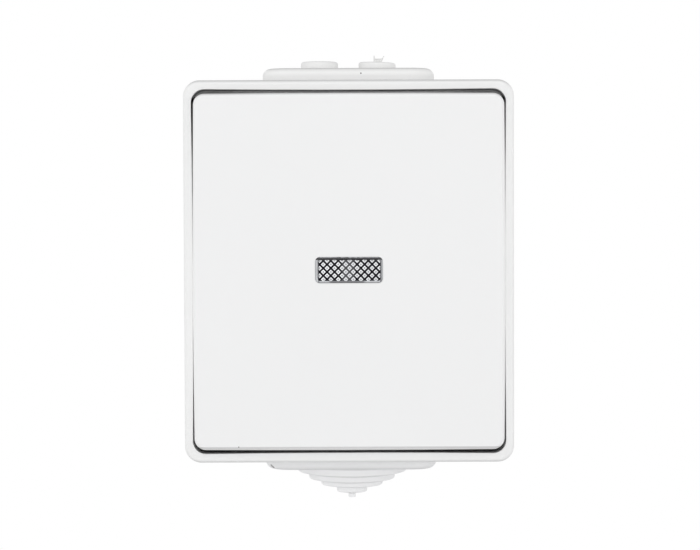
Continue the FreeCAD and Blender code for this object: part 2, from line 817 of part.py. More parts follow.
def make_bottom_grommet():
    """The lower grommet, with a stepped nipple that is cut to suit the cable."""
    body = make_body("bottom_grommet")
    add_grommet_cap(body, -1, lower_plate_end, size.lower_plate_shift)
    radii = [getattr(size, f"nipple_radius_{step}") for step in range(1, 6)]
    rises = [getattr(size, f"nipple_rise_{step}") for step in range(1, 6)]
    skin = size.grommet_skin
    level = -lower_plate_end
    outside = [(ZERO, level + skin / 2), (radii[0], level + skin / 2)]
    inside = [(ZERO, level + 2 * skin), (radii[0] - skin, level + 2 * skin)]
    for step, (radius, rise) in enumerate(zip(radii, rises)):
        level = level - rise
        following = radii[step + 1] if step + 1 < len(radii) else ZERO
        outside += [(radius, level), (following, level)]
        if step < 3:
            inside += [(radius - skin, level + skin), (following - skin, level + skin)]
        elif step == 3:
            inside += [(radius - skin, level + skin), (ZERO, level + skin)]
    place = (size.nipple_shift, ZERO)
    nipple = add_sketch(body, "nipple", "XZ_Plane", size.entry_depth, place)
    add_polygon(nipple, outside)
    add_revolution(body, "nipple", nipple)
    add_edge_round(
        body,
        "nipple_rims",
        size.nipple_round,
        lambda edge: edge.BoundBox.ZMax < -lower_plate_end.value - size.nipple_round.value
        and edge.BoundBox.ZLength < 1e-4
        and any(abs(edge.BoundBox.XLength - 2 * radius.value) < 1e-3 for radius in radii[:4])
        and is_outer_rim(edge, body.Tip.Shape),
    )
    hollow = add_sketch(body, "nipple_hollow", "XZ_Plane", size.entry_depth, place)
    add_polygon(hollow, inside)
    add_revolution(body, "nipple_hollow", hollow, grows=False)
    return body


def make_rocker():
    """The rocker: a flat plate with a set-back skirt, ribs, and legs that clip in the yoke."""
    body = make_body("rocker")
    plate = add_sketch(body, "plate", "XZ_Plane", rocker_edge_back)
    add_rectangle(
        plate, ZERO, ZERO, rocker_width, rocker_height, size.rocker_corner, rocker_bows
    )
    add_pad(body, "plate", plate, size.rocker_edge)
    add_edge_round(
        body, "face_edge", size.rocker_edge_round, lambda edge: in_plane(edge, "Y", -face_depth)
    )
    skirt_width = rocker_width - 2 * size.rocker_skirt_inset
    skirt_height = rocker_height - 2 * size.rocker_skirt_inset
    skirt_corner = size.rocker_corner - size.rocker_skirt_inset / 2
    skirt = add_sketch(body, "skirt", "XZ_Plane", skirt_back)
    add_rectangle(skirt, ZERO, ZERO, skirt_width, skirt_height, skirt_corner)
    add_pad(body, "skirt", skirt, size.rocker_skirt_length)
    inner_width = skirt_width - 2 * size.rocker_skirt_wall
    inner_height = skirt_height - 2 * size.rocker_skirt_wall
    hollow = add_sketch(body, "hollow", "XZ_Plane", skirt_back)
    add_rectangle(
        hollow, ZERO, ZERO, inner_width, inner_height, skirt_corner - size.rocker_skirt_wall / 2
    )
    add_pocket(body, "hollow", hollow, rocker_inner - skirt_back, reverse=True)

    window = add_sketch(body, "window", "XZ_Plane", face_depth)
    add_rectangle(
        window, ZERO, size.lens_rise, size.lens_width, size.lens_height, size.lens_corner
    )
    add_pocket(body, "window", window, size.rocker_edge)

    rib_back = rocker_inner - size.rocker_rib_length
    overlap = size.rocker_skirt_wall / 2
    bars = (
        ("upright_rib", size.rocker_rib_spacing / 2, ZERO, size.rocker_rib, inner_height + overlap),
        ("level_rib", ZERO, size.rocker_rib_spacing / 2, inner_width + overlap, size.rocker_rib),
    )
    for (name, x, z, width, height), plane in zip(bars, ("YZ_Plane", "XY_Plane")):
        rib = add_sketch(body, name, "XZ_Plane", rib_back)
        add_plain_rectangle(rib, x, z, width / 2, height / 2)
        first = add_pad(body, name, rib, size.rocker_rib_length + size.rocker_plate / 2)
        add_mirror(body, f"{name}s", [first], plane)

    leg_x = size.clip_spacing / 2
    leg_inner = leg_x - size.clip_width / 2
    leg_outer = leg_x + size.clip_width / 2
    hook_front = yoke_back - size.running_fit
    leg_end = hook_front - size.clip_hook_length
    leg = add_sketch(body, "clip", "XY_Plane", -size.clip_height / 2)
    add_polygon(
        leg,
        [
            (leg_inner, -rocker_inner - size.rocker_plate / 2),
            (leg_outer, -rocker_inner - size.rocker_plate / 2),
            (leg_outer, -hook_front),
            (leg_outer + size.clip_hook, -hook_front),
            (leg_outer, -leg_end),
            (leg_inner, -leg_end),
        ],
    )
    clip = add_pad(body, "clip", leg, size.clip_height)
    add_mirror(body, "clips", [clip], "YZ_Plane")
    return body


def make_lens():
    """The clear lens, whose face is knurled by two crossing sets of V grooves."""
    body = make_body("lens")
    front = face_depth - size.lens_sunk
    body_width = size.lens_width - 2 * size.lens_fit
    body_height = size.lens_height - 2 * size.lens_fit
    field_width = body_width - 2 * size.lens_border
    field_height = body_height - 2 * size.lens_border
    corner = size.lens_corner - size.lens_fit
    field_corner = corner - size.lens_border
    field = add_sketch(body, "field", "XZ_Plane", rocker_inner)
    add_rectangle(field, ZERO, size.lens_rise, field_width, field_height, field_corner)
    add_pad(body, "field", field, front - rocker_inner)

    diagonal = (field_width.value + field_height.value) / 2**0.5
    count = int(diagonal / size.knurl_pitch.value) + 1
    span = size.knurl_pitch * (count - 1)
    half_mouth = size.knurl_pitch / 2 - size.knurl_land / 2
    knurl_z = size.lens_rise + size.knurl_shift_z
    for name, turn in (("rising", 45), ("falling", -45)):
        groove = add_sketch(body, name, "XY_Plane", knurl_z, (size.knurl_shift_x, ZERO), turn)
        add_polygon(
            groove,
            [
                (-span / 2 - half_mouth, -front - size.lens_sunk),
                (-span / 2 - half_mouth, -front),
                (-span / 2, -front + size.knurl_depth),
                (-span / 2 + half_mouth, -front),
                (-span / 2 + half_mouth, -front - size.lens_sunk),
            ],
        )
        cut = add_pocket(body, name, groove, both=True)
        add_pattern(body, f"{name}_row", [cut], groove, "H_Axis", span, count)

    border = add_sketch(body, "border", "XZ_Plane", rocker_inner)
    add_rectangle(border, ZERO, size.lens_rise, body_width, body_height, corner)
    add_rectangle(border, ZERO, size.lens_rise, field_width, field_height, field_corner)
    add_pad(body, "border", border, front - rocker_inner)
    flange = add_sketch(body, "flange", "XZ_Plane", rocker_inner - size.lens_flange_thickness)
    add_rectangle(
        flange,
        ZERO,
        size.lens_rise,
        size.lens_width + 2 * size.lens_flange,
        size.lens_height + 2 * size.lens_flange,
        size.lens_corner,
    )
    add_pad(body, "flange", flange, size.lens_flange_thickness)
    return body


def make_drive_yoke():
    """The yoke that the rocker clips on: two trunnions, and a foot over each plunger."""
    body = make_body("drive_yoke")
    plate = add_sketch(body, "plate", "XZ_Plane", yoke_back)
    add_rectangle(plate, ZERO, ZERO, size.yoke_width, size.yoke_height, size.yoke_corner)
    add_pad(body, "plate", plate, size.yoke_plate)
    openings = add_sketch(body, "openings", "XZ_Plane", yoke_front)
    add_rectangle(
        openings, ZERO, ZERO, size.yoke_window_width, size.yoke_window_height, size.yoke_corner
    )
    clip_outer = (size.clip_spacing + size.clip_width) / 2 + size.running_fit
    clip_inner = (size.clip_spacing - size.clip_width) / 2 - size.clip_hook
    clip_middle = (clip_outer + clip_inner) / 2
    clip_half_width = (clip_outer - clip_inner) / 2
    clip_half_height = size.clip_height / 2 + size.running_fit
    for side in (-1, 1):
        add_plain_rectangle(openings, side * clip_middle, ZERO, clip_half_width, clip_half_height)
    add_pocket(body, "openings", openings)

    cheek_front = yoke_back + size.yoke_plate / 2
    cheek_back = pivot_depth - size.trunnion_radius - size.trunnion_margin
    cheek = add_sketch(body, "cheek", "YZ_Plane", size.yoke_width / 2 - size.cheek_thickness)
    add_rectangle(
        cheek,
        -(cheek_front + cheek_back) / 2,
        ZERO,
        cheek_front - cheek_back,
        size.cheek_width,
        size.yoke_corner,
    )
    cheek_pad = add_pad(body, "cheek", cheek, size.cheek_thickness)
    pin = add_sketch(body, "trunnion", "YZ_Plane", size.yoke_width / 2 - size.cheek_thickness / 2)
    add_circle(pin, -pivot_depth, ZERO, size.trunnion_radius)
    pin_pad = add_pad(body, "trunnion", pin, size.cheek_thickness / 2 + size.trunnion_length)
    add_mirror(body, "cheeks", [cheek_pad, pin_pad], "YZ_Plane")

    foot = add_sketch(body, "foot", "YZ_Plane")
    half_thickness = size.foot_thickness / 2
    foot_z = size.foot_spacing / 2
    centre = Vector(-(foot_end + half_thickness).value, foot_z.value, 0)
    circle = Part.Circle(centre, Vector(0, 0, 1), half_thickness.value)
    nose = foot.addGeometry(Part.ArcOfCircle(circle, -math.pi / 2, math.pi / 2), False)
    fix_point(foot, nose, 1, -(foot_end + half_thickness), foot_z - half_thickness)
    fix_point(foot, nose, 2, -(foot_end + half_thickness), foot_z + half_thickness)
    corners = [
        (-(foot_end + half_thickness), foot_z + half_thickness),
        (-cheek_front, foot_z + half_thickness),
        (-cheek_front, foot_z - half_thickness),
        (-(foot_end + half_thickness), foot_z - half_thickness),
    ]
    points = [Vector(y.value, z.value, 0) for y, z in corners]
    sides = [
        foot.addGeometry(Part.LineSegment(points[n], points[n + 1]), False) for n in range(3)
    ]
    foot.addConstraint(Sketcher.Constraint("Tangent", nose, 2, sides[0], 1))
    foot.addConstraint(Sketcher.Constraint("Coincident", sides[0], 2, sides[1], 1))
    foot.addConstraint(Sketcher.Constraint("Coincident", sides[1], 2, sides[2], 1))
    foot.addConstraint(Sketcher.Constraint("Coincident", sides[2], 2, nose, 1))
    fix_point(foot, sides[1], 1, *corners[1])
    fix_point(foot, sides[1], 2, *corners[2])
    foot_pad = add_pad(body, "foot", foot, size.foot_width, both=True)
    add_mirror(body, "feet", [foot_pad], "XY_Plane")
    return body


def make_mechanism_base():
    """The moulded base that carries the terminals, plungers and springs."""
    body = make_body("mechanism_base")
    block = add_sketch(body, "block", "XZ_Plane", size.mech_back)
    add_rectangle(block, ZERO, ZERO, size.mech_width, size.mech_height, size.mech_corner)
    add_pad(body, "block", block, size.mech_front - size.mech_back)
    lugs = add_sketch(body, "lugs", "XZ_Plane", size.mech_back)
    add_rectangle(
        lugs,
        ZERO,
        ZERO,
        size.mech_lug_spacing + size.mech_lug_width,
        size.mech_lug_width,
        size.mech_lug_corner,
    )
    add_pad(body, "lugs", lugs, size.mech_lug_thickness)
    holes = add_sketch(body, "lug_holes", "XZ_Plane", size.mech_front)
    for side in (-1, 1):
        x = side * size.mech_lug_spacing / 2
        add_circle(holes, x, ZERO, size.mech_screw_radius + size.box_clearance)
    add_pocket(body, "lug_holes", holes)

    cavity = add_sketch(body, "cavity", "XZ_Plane", size.mech_front)
    add_rectangle(
        cavity,
        ZERO,
        ZERO,
        size.mech_cavity_width,
        size.mech_cavity_height,
        size.mech_corner / 2,
    )
    add_pocket(body, "cavity", cavity, size.mech_front - size.mech_cavity_floor)
    wells = add_sketch(body, "spring_wells", "XZ_Plane", size.mech_front)
    for level in (-1, 1):
        well_z = level * size.foot_spacing / 2
        add_circle(wells, ZERO, well_z, size.spring_radius + size.spring_wire + size.terminal_fit)
    add_pocket(body, "spring_wells", wells, size.mech_front - size.spring_back)

    pockets = add_sketch(body, "terminal_pockets", "XZ_Plane", size.mech_front)
    for x, z in terminal_places:
        add_rectangle(
            pockets,
            x,
            z,
            size.terminal_width + 2 * size.terminal_fit,
            size.terminal_height + 2 * size.terminal_fit,
            size.terminal_fit * 2,
        )
    pocket_depth = size.mech_front - size.terminal_back + size.terminal_fit / 2
    add_pocket(body, "terminal_pockets", pockets, pocket_depth)
    wires = add_sketch(body, "wire_entries", "XY_Plane", size.mech_height / 2)
    for side in (-1, 1):
        x = side * size.contact_spacing / 2
        add_circle(wires, x, -size.terminal_bore_depth, size.terminal_bore + size.terminal_fit)
    end_wall = (size.mech_height - size.terminal_spacing - size.terminal_height) / 2
    entries = add_pocket(body, "wire_entries", wires, end_wall)
    add_mirror(body, "wire_entry_rows", [entries], "XY_Plane")
    return body


def make_mechanism_cover():
    """The plate over the base, with plunger guides and the ears that bear the yoke."""
    body = make_body("mechanism_cover")
    plate = add_sketch(body, "plate", "XZ_Plane", size.mech_front)
    add_rectangle(plate, ZERO, ZERO, size.mech_width, size.mech_height, size.mech_corner)
    add_pad(body, "plate", plate, size.mech_cover_plate)
    ear_inner = size.yoke_width / 2 + size.ear_gap
    ear_top = pivot_depth + size.trunnion_radius + size.trunnion_margin
    ear = add_sketch(body, "ear", "YZ_Plane", ear_inner)
    add_rectangle(
        ear,
        -(ear_top + size.mech_front) / 2,
        ZERO,
        ear_top - size.mech_front,
        size.ear_width,
        size.ear_corner,
    )
    ear_pad = add_pad(body, "ear", ear, size.ear_thickness)
    add_mirror(body, "ears", [ear_pad], "YZ_Plane")
    bearings = add_sketch(body, "bearings", "YZ_Plane")
    add_circle(bearings, -pivot_depth, ZERO, size.trunnion_radius + size.running_fit)
    add_pocket(body, "bearings", bearings, both=True)

    openings = add_sketch(body, "openings", "XZ_Plane", mech_cover_front)
    for level in (-1, 1):
        add_rectangle(
            openings,
            ZERO,
            level * size.foot_spacing / 2,
            size.plunger_width + 2 * size.plunger_guide_fit,
            size.plunger_height + 2 * size.plunger_guide_fit,
            size.plunger_corner,
        )
    for x, z in terminal_places:
        add_circle(openings, x, z, size.access_radius)
    for x, z in ((-size.lead_drop_x, ZERO), (-size.lead_pass_x, size.resistor_z)):
        add_circle(openings, x, z, size.lead_radius + size.terminal_fit)
    add_pocket(body, "openings", openings, size.mech_cover_plate)
    return body


def make_plunger(label, level):
    """A guided plunger that carries a contact bridge and stands on its spring."""
    body = make_body(label)
    z = level * size.foot_spacing / 2
    stem = add_sketch(body, "stem", "XZ_Plane", size.plunger_back)
    add_rectangle(stem, ZERO, z, size.plunger_width, size.plunger_height, size.plunger_corner)
    add_pad(body, "stem", stem, plunger_front - size.plunger_back)
    shoulder_front = size.mech_front - foot_swing - size.plunger_stop
    shoulder = add_sketch(body, "shoulder", "XZ_Plane", shoulder_front - size.shoulder_thickness)
    add_rectangle(
        shoulder,
        ZERO,
        z,
        size.plunger_width + 2 * size.shoulder_reach,
        size.plunger_height,
        size.plunger_corner,
    )
    add_pad(body, "shoulder", shoulder, size.shoulder_thickness)
    slot = add_sketch(body, "bridge_slot", "YZ_Plane")
    half_length = size.bridge_thickness / 2 + size.running_fit
    half_height = size.bridge_height / 2 + size.running_fit
    middle = -size.bridge_back - size.bridge_thickness / 2
    add_plain_rectangle(slot, middle, z, half_length, half_height)
    add_pocket(body, "bridge_slot", slot, both=True)
    pin = add_sketch(body, "spring_pin", "XZ_Plane", size.plunger_back - size.spring_pin_length)
    add_circle(pin, ZERO, z, size.spring_pin_radius)
    add_pad(body, "spring_pin", pin, size.spring_pin_length + size.bridge_thickness)
    return body


def make_bridge(label, level):
    """The brass bridge through a plunger, with a contact stud at each end."""
    body = make_body(label)
    z = level * size.foot_spacing / 2
    strip = add_sketch(body, "strip", "XZ_Plane", size.bridge_back)
    length = size.contact_spacing + 2 * size.contact_radius + 2 * size.contact_margin
    add_rectangle(strip, ZERO, z, length, size.bridge_height, size.plunger_corner)
    add_pad(body, "strip", strip, size.bridge_thickness)
    studs = add_sketch(body, "studs", "XZ_Plane", size.bridge_back - size.contact_rise)
    for side in (-1, 1):
        add_circle(studs, side * size.contact_spacing / 2, z, size.contact_radius)
    add_pad(body, "studs", studs, size.contact_rise + size.bridge_thickness / 2)
    stud_back = -(size.bridge_back - size.contact_rise)
    add_edge_round(
        body, "stud_edges", size.contact_rise / 2, lambda edge: in_plane(edge, "Y", stud_back)
    )
    return body


def make_spring(label, level):
    """A compression spring between the base and a plunger, its wire a fine prism."""
    body = make_body(label)
    height = size.plunger_back - size.spring_back
    rise = height - 2 * size.spring_wire - 2 * size.running_fit
    coil = add_sketch(body, "wire", "YZ_Plane", ZERO, (ZERO, level * size.foot_spacing / 2))
    start = -size.spring_back - size.spring_wire - size.running_fit
    sides = int(size.spring_wire_sides.value)
    corners = []
    for number in range(sides):
        angle = 2 * math.pi * number / sides
        along = start + math.cos(angle) * size.spring_wire
        corners.append((along, size.spring_radius + math.sin(angle) * size.spring_wire))
    add_polygon(coil, corners)
    helix = body.newObject("PartDesign::AdditiveHelix", f"{body.Name}_coil")
    helix.Profile = coil
    helix.ReferenceAxis = (coil, ["H_Axis"])
    helix.Mode = "height-turns-angle"
    helix.setExpression("Height", rise.text)
    helix.setExpression("Turns", size.spring_turns.text)
    helix.Reversed = True
    finish_feature(body, helix)
    return body


def make_terminal(label, side, level, reach=None, studs=()):
    """A clamp block for one wire. A reach makes a strip from it, with fixed contact studs."""
    body = make_body(label)
    x = side * size.contact_spacing / 2
    z = level * size.terminal_spacing / 2
    block = add_sketch(body, "block", "XZ_Plane", size.terminal_back)
    add_rectangle(
        block, x, z, size.terminal_width, size.terminal_height, size.terminal_fit * 2
    )
    add_pad(body, "block", block, size.terminal_front - size.terminal_back)
    if reach is not None:
        strip = add_sketch(body, "strip", "XZ_Plane", size.mech_cavity_floor)
        half_height = (z - reach) / 2 if z.value > reach.value else (reach - z) / 2
        add_plain_rectangle(strip, x, (z + reach) / 2, size.strip_width / 2, half_height)
        add_pad(body, "strip", strip, size.strip_thickness)
        contacts = add_sketch(body, "studs", "XZ_Plane", size.mech_cavity_floor)
        for stud in studs:
            add_circle(contacts, x, stud, size.contact_radius)
        add_pad(body, "studs", contacts, fixed_contact_front - size.mech_cavity_floor)
    wire_bore = add_sketch(body, "wire_bore", "XY_Plane", level * size.mech_height / 2)
    add_circle(wire_bore, x, -size.terminal_bore_depth, size.terminal_bore)
    bore_length = (size.mech_height - size.terminal_spacing + size.terminal_height) / 2
    add_pocket(
        body,
        "wire_bore",
        wire_bore,
        bore_length - size.terminal_fit,
        reverse=level < 0,
    )
    thread = add_sketch(body, "thread", "XZ_Plane", size.terminal_front)
    add_circle(thread, x, z, size.terminal_screw_radius + size.running_fit)
    add_pocket(body, "thread", thread, size.terminal_front - size.terminal_bore_depth)
    return body


def make_screws(label, places, seat, radius, length, head_radius, head_height, crossed):
    """Screws along Y on one seat: round heads with a cross, or bevelled heads with a slot."""
    body = make_body(label, several=True)
    heads = add_sketch(body, "heads", "XZ_Plane", seat)
    shanks = add_sketch(body, "shanks", "XZ_Plane", seat - length)
    for x, z in places:
        add_circle(heads, x, z, head_radius)
        add_circle(shanks, x, z, radius)
    add_pad(body, "heads", heads, head_height)
    head_front = -(seat + head_height)
    add_edge_round(
        body,
        "head_edges",
        head_height / 2 if crossed else size.driver_slot / 2,
        lambda edge: in_plane(edge, "Y", head_front),
        "Fillet" if crossed else "Chamfer",
    )
    add_pad(body, "shanks", shanks, length + head_height / 4)
    half_slot = size.driver_slot / 2
    reach = head_radius * (size.driver_cross_share if crossed else size.driver_slot_share)
    spans = ((reach, half_slot), (half_slot, reach)) if crossed else ((reach, half_slot),)
    for number, (half_width, half_height) in enumerate(spans):
        slots = add_sketch(body, f"slot_{number}", "XZ_Plane", seat + head_height)
        for x, z in places:
            add_plain_rectangle(slots, x, z, half_width, half_height)
        add_pocket(body, f"slot_{number}", slots, size.driver_slot_depth)
    return body


def make_lamp():
    """The glass neon capsule behind the lens."""
    body = make_body("neon_lamp")
    glass = add_sketch(body, "glass", "YZ_Plane")
    add_circle(glass, -size.lamp_depth, ZERO, size.lamp_radius)
    add_pad(body, "glass", glass, size.lamp_length, both=True)
    add_edge_round(body, "ends", size.lamp_end_round, lambda edge: edge.BoundBox.XLength < 1e-4)
    return body


def make_lamp_holder():
    """The cradle on the mechanism cover that the lamp lies in."""
    body = make_body("lamp_holder")
    block = add_sketch(body, "block", "XZ_Plane", mech_cover_front)
    add_rectangle(
        block, ZERO, ZERO, size.holder_width, size.holder_height, size.holder_corner
    )
    add_pad(body, "block", block, size.lamp_depth - size.holder_below_axis - mech_cover_front)
    groove = add_sketch(body, "groove", "YZ_Plane")
    add_circle(groove, -size.lamp_depth, ZERO, size.lamp_radius + size.holder_cradle)
    add_pocket(body, "groove", groove, both=True)
    return body


def make_resistor():
    """The lamp's series resistor, on the mechanism cover."""
    body = make_body("lamp_resistor")
    axis_depth = mech_cover_front + size.resistor_radius + size.running_fit
    tube = add_sketch(body, "tube", "YZ_Plane")
    add_circle(tube, -axis_depth, size.resistor_z, size.resistor_radius)
    add_pad(body, "tube", tube, size.resistor_length, both=True)
    add_edge_round(
        body, "ends", size.resistor_radius / 2, lambda edge: edge.BoundBox.XLength < 1e-4
    )
    return body


def bent_wire(points, radius, bend):
    """Round wire along straight runs, with an arc of one radius at each square turn."""
    runs = []
    start = points[0]
    for corner, following in zip(points[1:], points[2:]):
        arrive = corner + (start - corner).normalize() * bend
        leave = corner + (following - corner).normalize() * bend
        middle = corner + ((arrive - corner) + (leave - corner)) * (1 - 2**-0.5)
        runs.append(Part.LineSegment(start, arrive).toShape())
        runs.append(Part.Arc(arrive, middle, leave).toShape())
        start = leave
    runs.append(Part.LineSegment(start, points[-1]).toShape())
    path = Part.Wire(runs)
    section = Part.Wire(Part.Circle(points[0], points[1] - points[0], radius).toShape())
    return path.makePipeShell([section], True, False)


def make_lamp_leads():
    """The bare tinned leads: lamp to live, lamp to resistor, and resistor to neutral."""
    lamp_end = size.lamp_length.value / 2
    lamp_y = -size.lamp_depth.value
    drop_x = size.lead_drop_x.value
    strip_y = -(strip_front + size.running_fit).value
    resistor_y = -(mech_cover_front + size.resistor_radius + size.running_fit).value
    resistor_z = size.resistor_z.value
    resistor_end = size.resistor_length.value / 2
    pass_x = size.lead_pass_x.value
    block_y = -(size.terminal_front + size.running_fit).value
    pass_y = block_y - size.lead_rise.value
    block_z = -(size.terminal_spacing - size.terminal_height).value / 2 - size.lead_landing.value
    routes = (
        [
            Vector(-lamp_end, lamp_y, 0),
            Vector(-drop_x, lamp_y, 0),
            Vector(-drop_x, strip_y, 0),
        ],
        [
            Vector(lamp_end, lamp_y, 0),
            Vector(drop_x, lamp_y, 0),
            Vector(drop_x, resistor_y, 0),
            Vector(drop_x, resistor_y, resistor_z),
            Vector(resistor_end, resistor_y, resistor_z),
        ],
        [
            Vector(-resistor_end, resistor_y, resistor_z),
            Vector(-pass_x, resistor_y, resistor_z),
            Vector(-pass_x, pass_y, resistor_z),
            Vector(-pass_x, pass_y, block_z),
            Vector(-pass_x, block_y, block_z),
        ],
    )
    leads = document.addObject("Part::Feature", "lamp_leads")
    radius = size.lead_radius.value
    bend = size.lead_bend.value
    leads.Shape = Part.Compound([bent_wire(route, radius, bend) for route in routes])
    return leads


foot_level = size.foot_spacing / 2
strip_end = foot_level - size.contact_radius - size.contact_margin
pieces = [
    make_back_box(),
    make_cover_frame(),
    make_box_seal(),
    make_membrane(),
    make_top_grommet(),
    make_bottom_grommet(),
    make_rocker(),
    make_lens(),
    make_drive_yoke(),
    make_mechanism_base(),
    make_mechanism_cover(),
    make_plunger("upper_plunger", 1),
    make_plunger("lower_plunger", -1),
    make_bridge("upper_bridge", 1),
    make_bridge("lower_bridge", -1),
    make_spring("upper_spring", 1),
    make_spring("lower_spring", -1),
    make_terminal(
        "common_terminal",
        -1,
        1,
        -(foot_level + size.contact_radius + size.contact_margin),
        (foot_level, -foot_level),
    ),
    make_terminal("upper_terminal", 1, 1, strip_end, (foot_level,)),
    make_terminal("lower_terminal", 1, -1, -strip_end, (-foot_level,)),
    make_terminal("neutral_terminal", -1, -1),
    make_screws(
        "terminal_screws",
        terminal_places,
        size.terminal_front,
        size.terminal_screw_radius,
        size.terminal_front - size.terminal_bore_depth,
        size.terminal_head_radius,
        size.terminal_head_height,
        False,
    ),
    make_screws(
        "mechanism_screws",
        ((-size.mech_lug_spacing / 2, ZERO), (size.mech_lug_spacing / 2, ZERO)),
        size.mech_back + size.mech_lug_thickness,
        size.mech_screw_radius,
        size.mech_screw_length,
        size.mech_head_radius,
        size.mech_head_height,
        True,
    ),
    make_screws(
        "cover_screws",
        cover_screw_places,
        floor_front,
        size.cover_screw_radius,
        size.cover_screw_length,
        size.cover_head_radius,
        size.cover_head_height,
        True,
    ),
    make_lamp(),
    make_lamp_holder(),
    make_resistor(),
    make_lamp_leads(),
]

document.recompute()
failed = [
    entry.Name
    for entry in document.Objects
    if "Invalid" in entry.State or "Error" in entry.State
]
if failed:
    raise RuntimeError(f"features failed: {failed}")
for piece in pieces:
    if piece.Shape.isNull() or not piece.Shape.isValid():
        raise RuntimeError(f"{piece.Label} has no valid shape")

os.makedirs("parts", exist_ok=True)
for piece in pieces:
    piece.Shape.exportStep(os.path.join("parts", f"{piece.Label}.step"))
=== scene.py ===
import math

import bmesh
import bpy
from bpy.props import FloatProperty, FloatVectorProperty, IntProperty, PointerProperty
from bpy.types import Operator, Panel, PropertyGroup
from mathutils import Matrix, Vector
from mathutils.geometry import interpolate_bezier


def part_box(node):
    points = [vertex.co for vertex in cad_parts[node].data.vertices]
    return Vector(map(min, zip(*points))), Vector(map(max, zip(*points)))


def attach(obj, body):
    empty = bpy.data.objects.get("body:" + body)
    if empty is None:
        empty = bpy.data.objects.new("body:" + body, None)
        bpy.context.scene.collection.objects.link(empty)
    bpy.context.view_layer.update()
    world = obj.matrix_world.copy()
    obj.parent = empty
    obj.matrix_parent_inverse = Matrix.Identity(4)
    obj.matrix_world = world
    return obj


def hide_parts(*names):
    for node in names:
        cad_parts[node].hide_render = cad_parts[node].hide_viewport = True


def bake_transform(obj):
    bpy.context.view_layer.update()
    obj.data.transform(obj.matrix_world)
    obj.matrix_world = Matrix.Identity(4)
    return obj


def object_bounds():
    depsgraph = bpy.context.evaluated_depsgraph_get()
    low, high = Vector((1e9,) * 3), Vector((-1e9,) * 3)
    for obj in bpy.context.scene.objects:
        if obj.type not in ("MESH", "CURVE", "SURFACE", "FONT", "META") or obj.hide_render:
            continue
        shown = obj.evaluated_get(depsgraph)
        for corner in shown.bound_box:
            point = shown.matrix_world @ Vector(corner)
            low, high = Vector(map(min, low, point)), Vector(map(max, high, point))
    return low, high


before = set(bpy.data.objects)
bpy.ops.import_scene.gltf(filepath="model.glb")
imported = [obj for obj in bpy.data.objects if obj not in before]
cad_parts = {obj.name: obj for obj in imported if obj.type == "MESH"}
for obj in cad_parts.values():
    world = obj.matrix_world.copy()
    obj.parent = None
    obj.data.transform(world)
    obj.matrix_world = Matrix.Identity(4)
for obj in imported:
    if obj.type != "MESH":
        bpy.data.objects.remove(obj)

# Finishes, return springs, moulding flash, floor, lights and camera for a surface-mounted
# weatherproof switch: a rocker with a lit lens in a deep frame, over a wall box with rubber
# cable entries. +X is right, +Z is up and the front faces -Y, in metres.

bl_info = {
    "name": "Weatherproof Switch Finishes",
    "version": (1, 0, 0),
    "blender": (4, 5, 0),
    "location": "View3D > Sidebar > Switch",
    "description": "Moulded plastic, rubber, lens, metal and stage for a weatherproof switch",
    "category": "Material",
}

MM = 0.001
CAD_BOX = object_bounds()
LENS_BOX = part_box("lens")
TOP_GROMMET_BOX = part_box("top_grommet")
BOTTOM_GROMMET_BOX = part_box("bottom_grommet")
ROCKER_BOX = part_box("rocker")
MEMBRANE_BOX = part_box("sealing_membrane")
RESISTOR_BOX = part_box("lamp_resistor")

# Height over which the painted black shade on the walls of the gap round the rocker fades in
PAINTED_SHADE_FADE = 4 * MM

# Painted shade in the creases of a cable entry: level and half width in millimetres, and share of
# the crease shade. The upper entry's are the knockouts' feet and rims, the lower one's are the
# steps of the nipple, its root and its plate, which the frame above shades. Each fades out over
# CREASE_FADE more millimetres.
UPPER_CREASES = ((41.74, 0.08, 0.85), (43.7, 0.25, 0.2))
LOWER_CREASES = (
    (-43.85, 0.12, 1),
    (-45.45, 0.12, 1),
    (-46.8, 0.12, 1),
    (-48.4, 0.12, 1),
    (-42.05, 0.1, 0.8),
    (-40.4, 1.4, 0.28),
)
CREASE_FADE = 0.3

# Width of the picture, in whose pixels the camera's shift is measured
PICTURE_WIDTH = 700


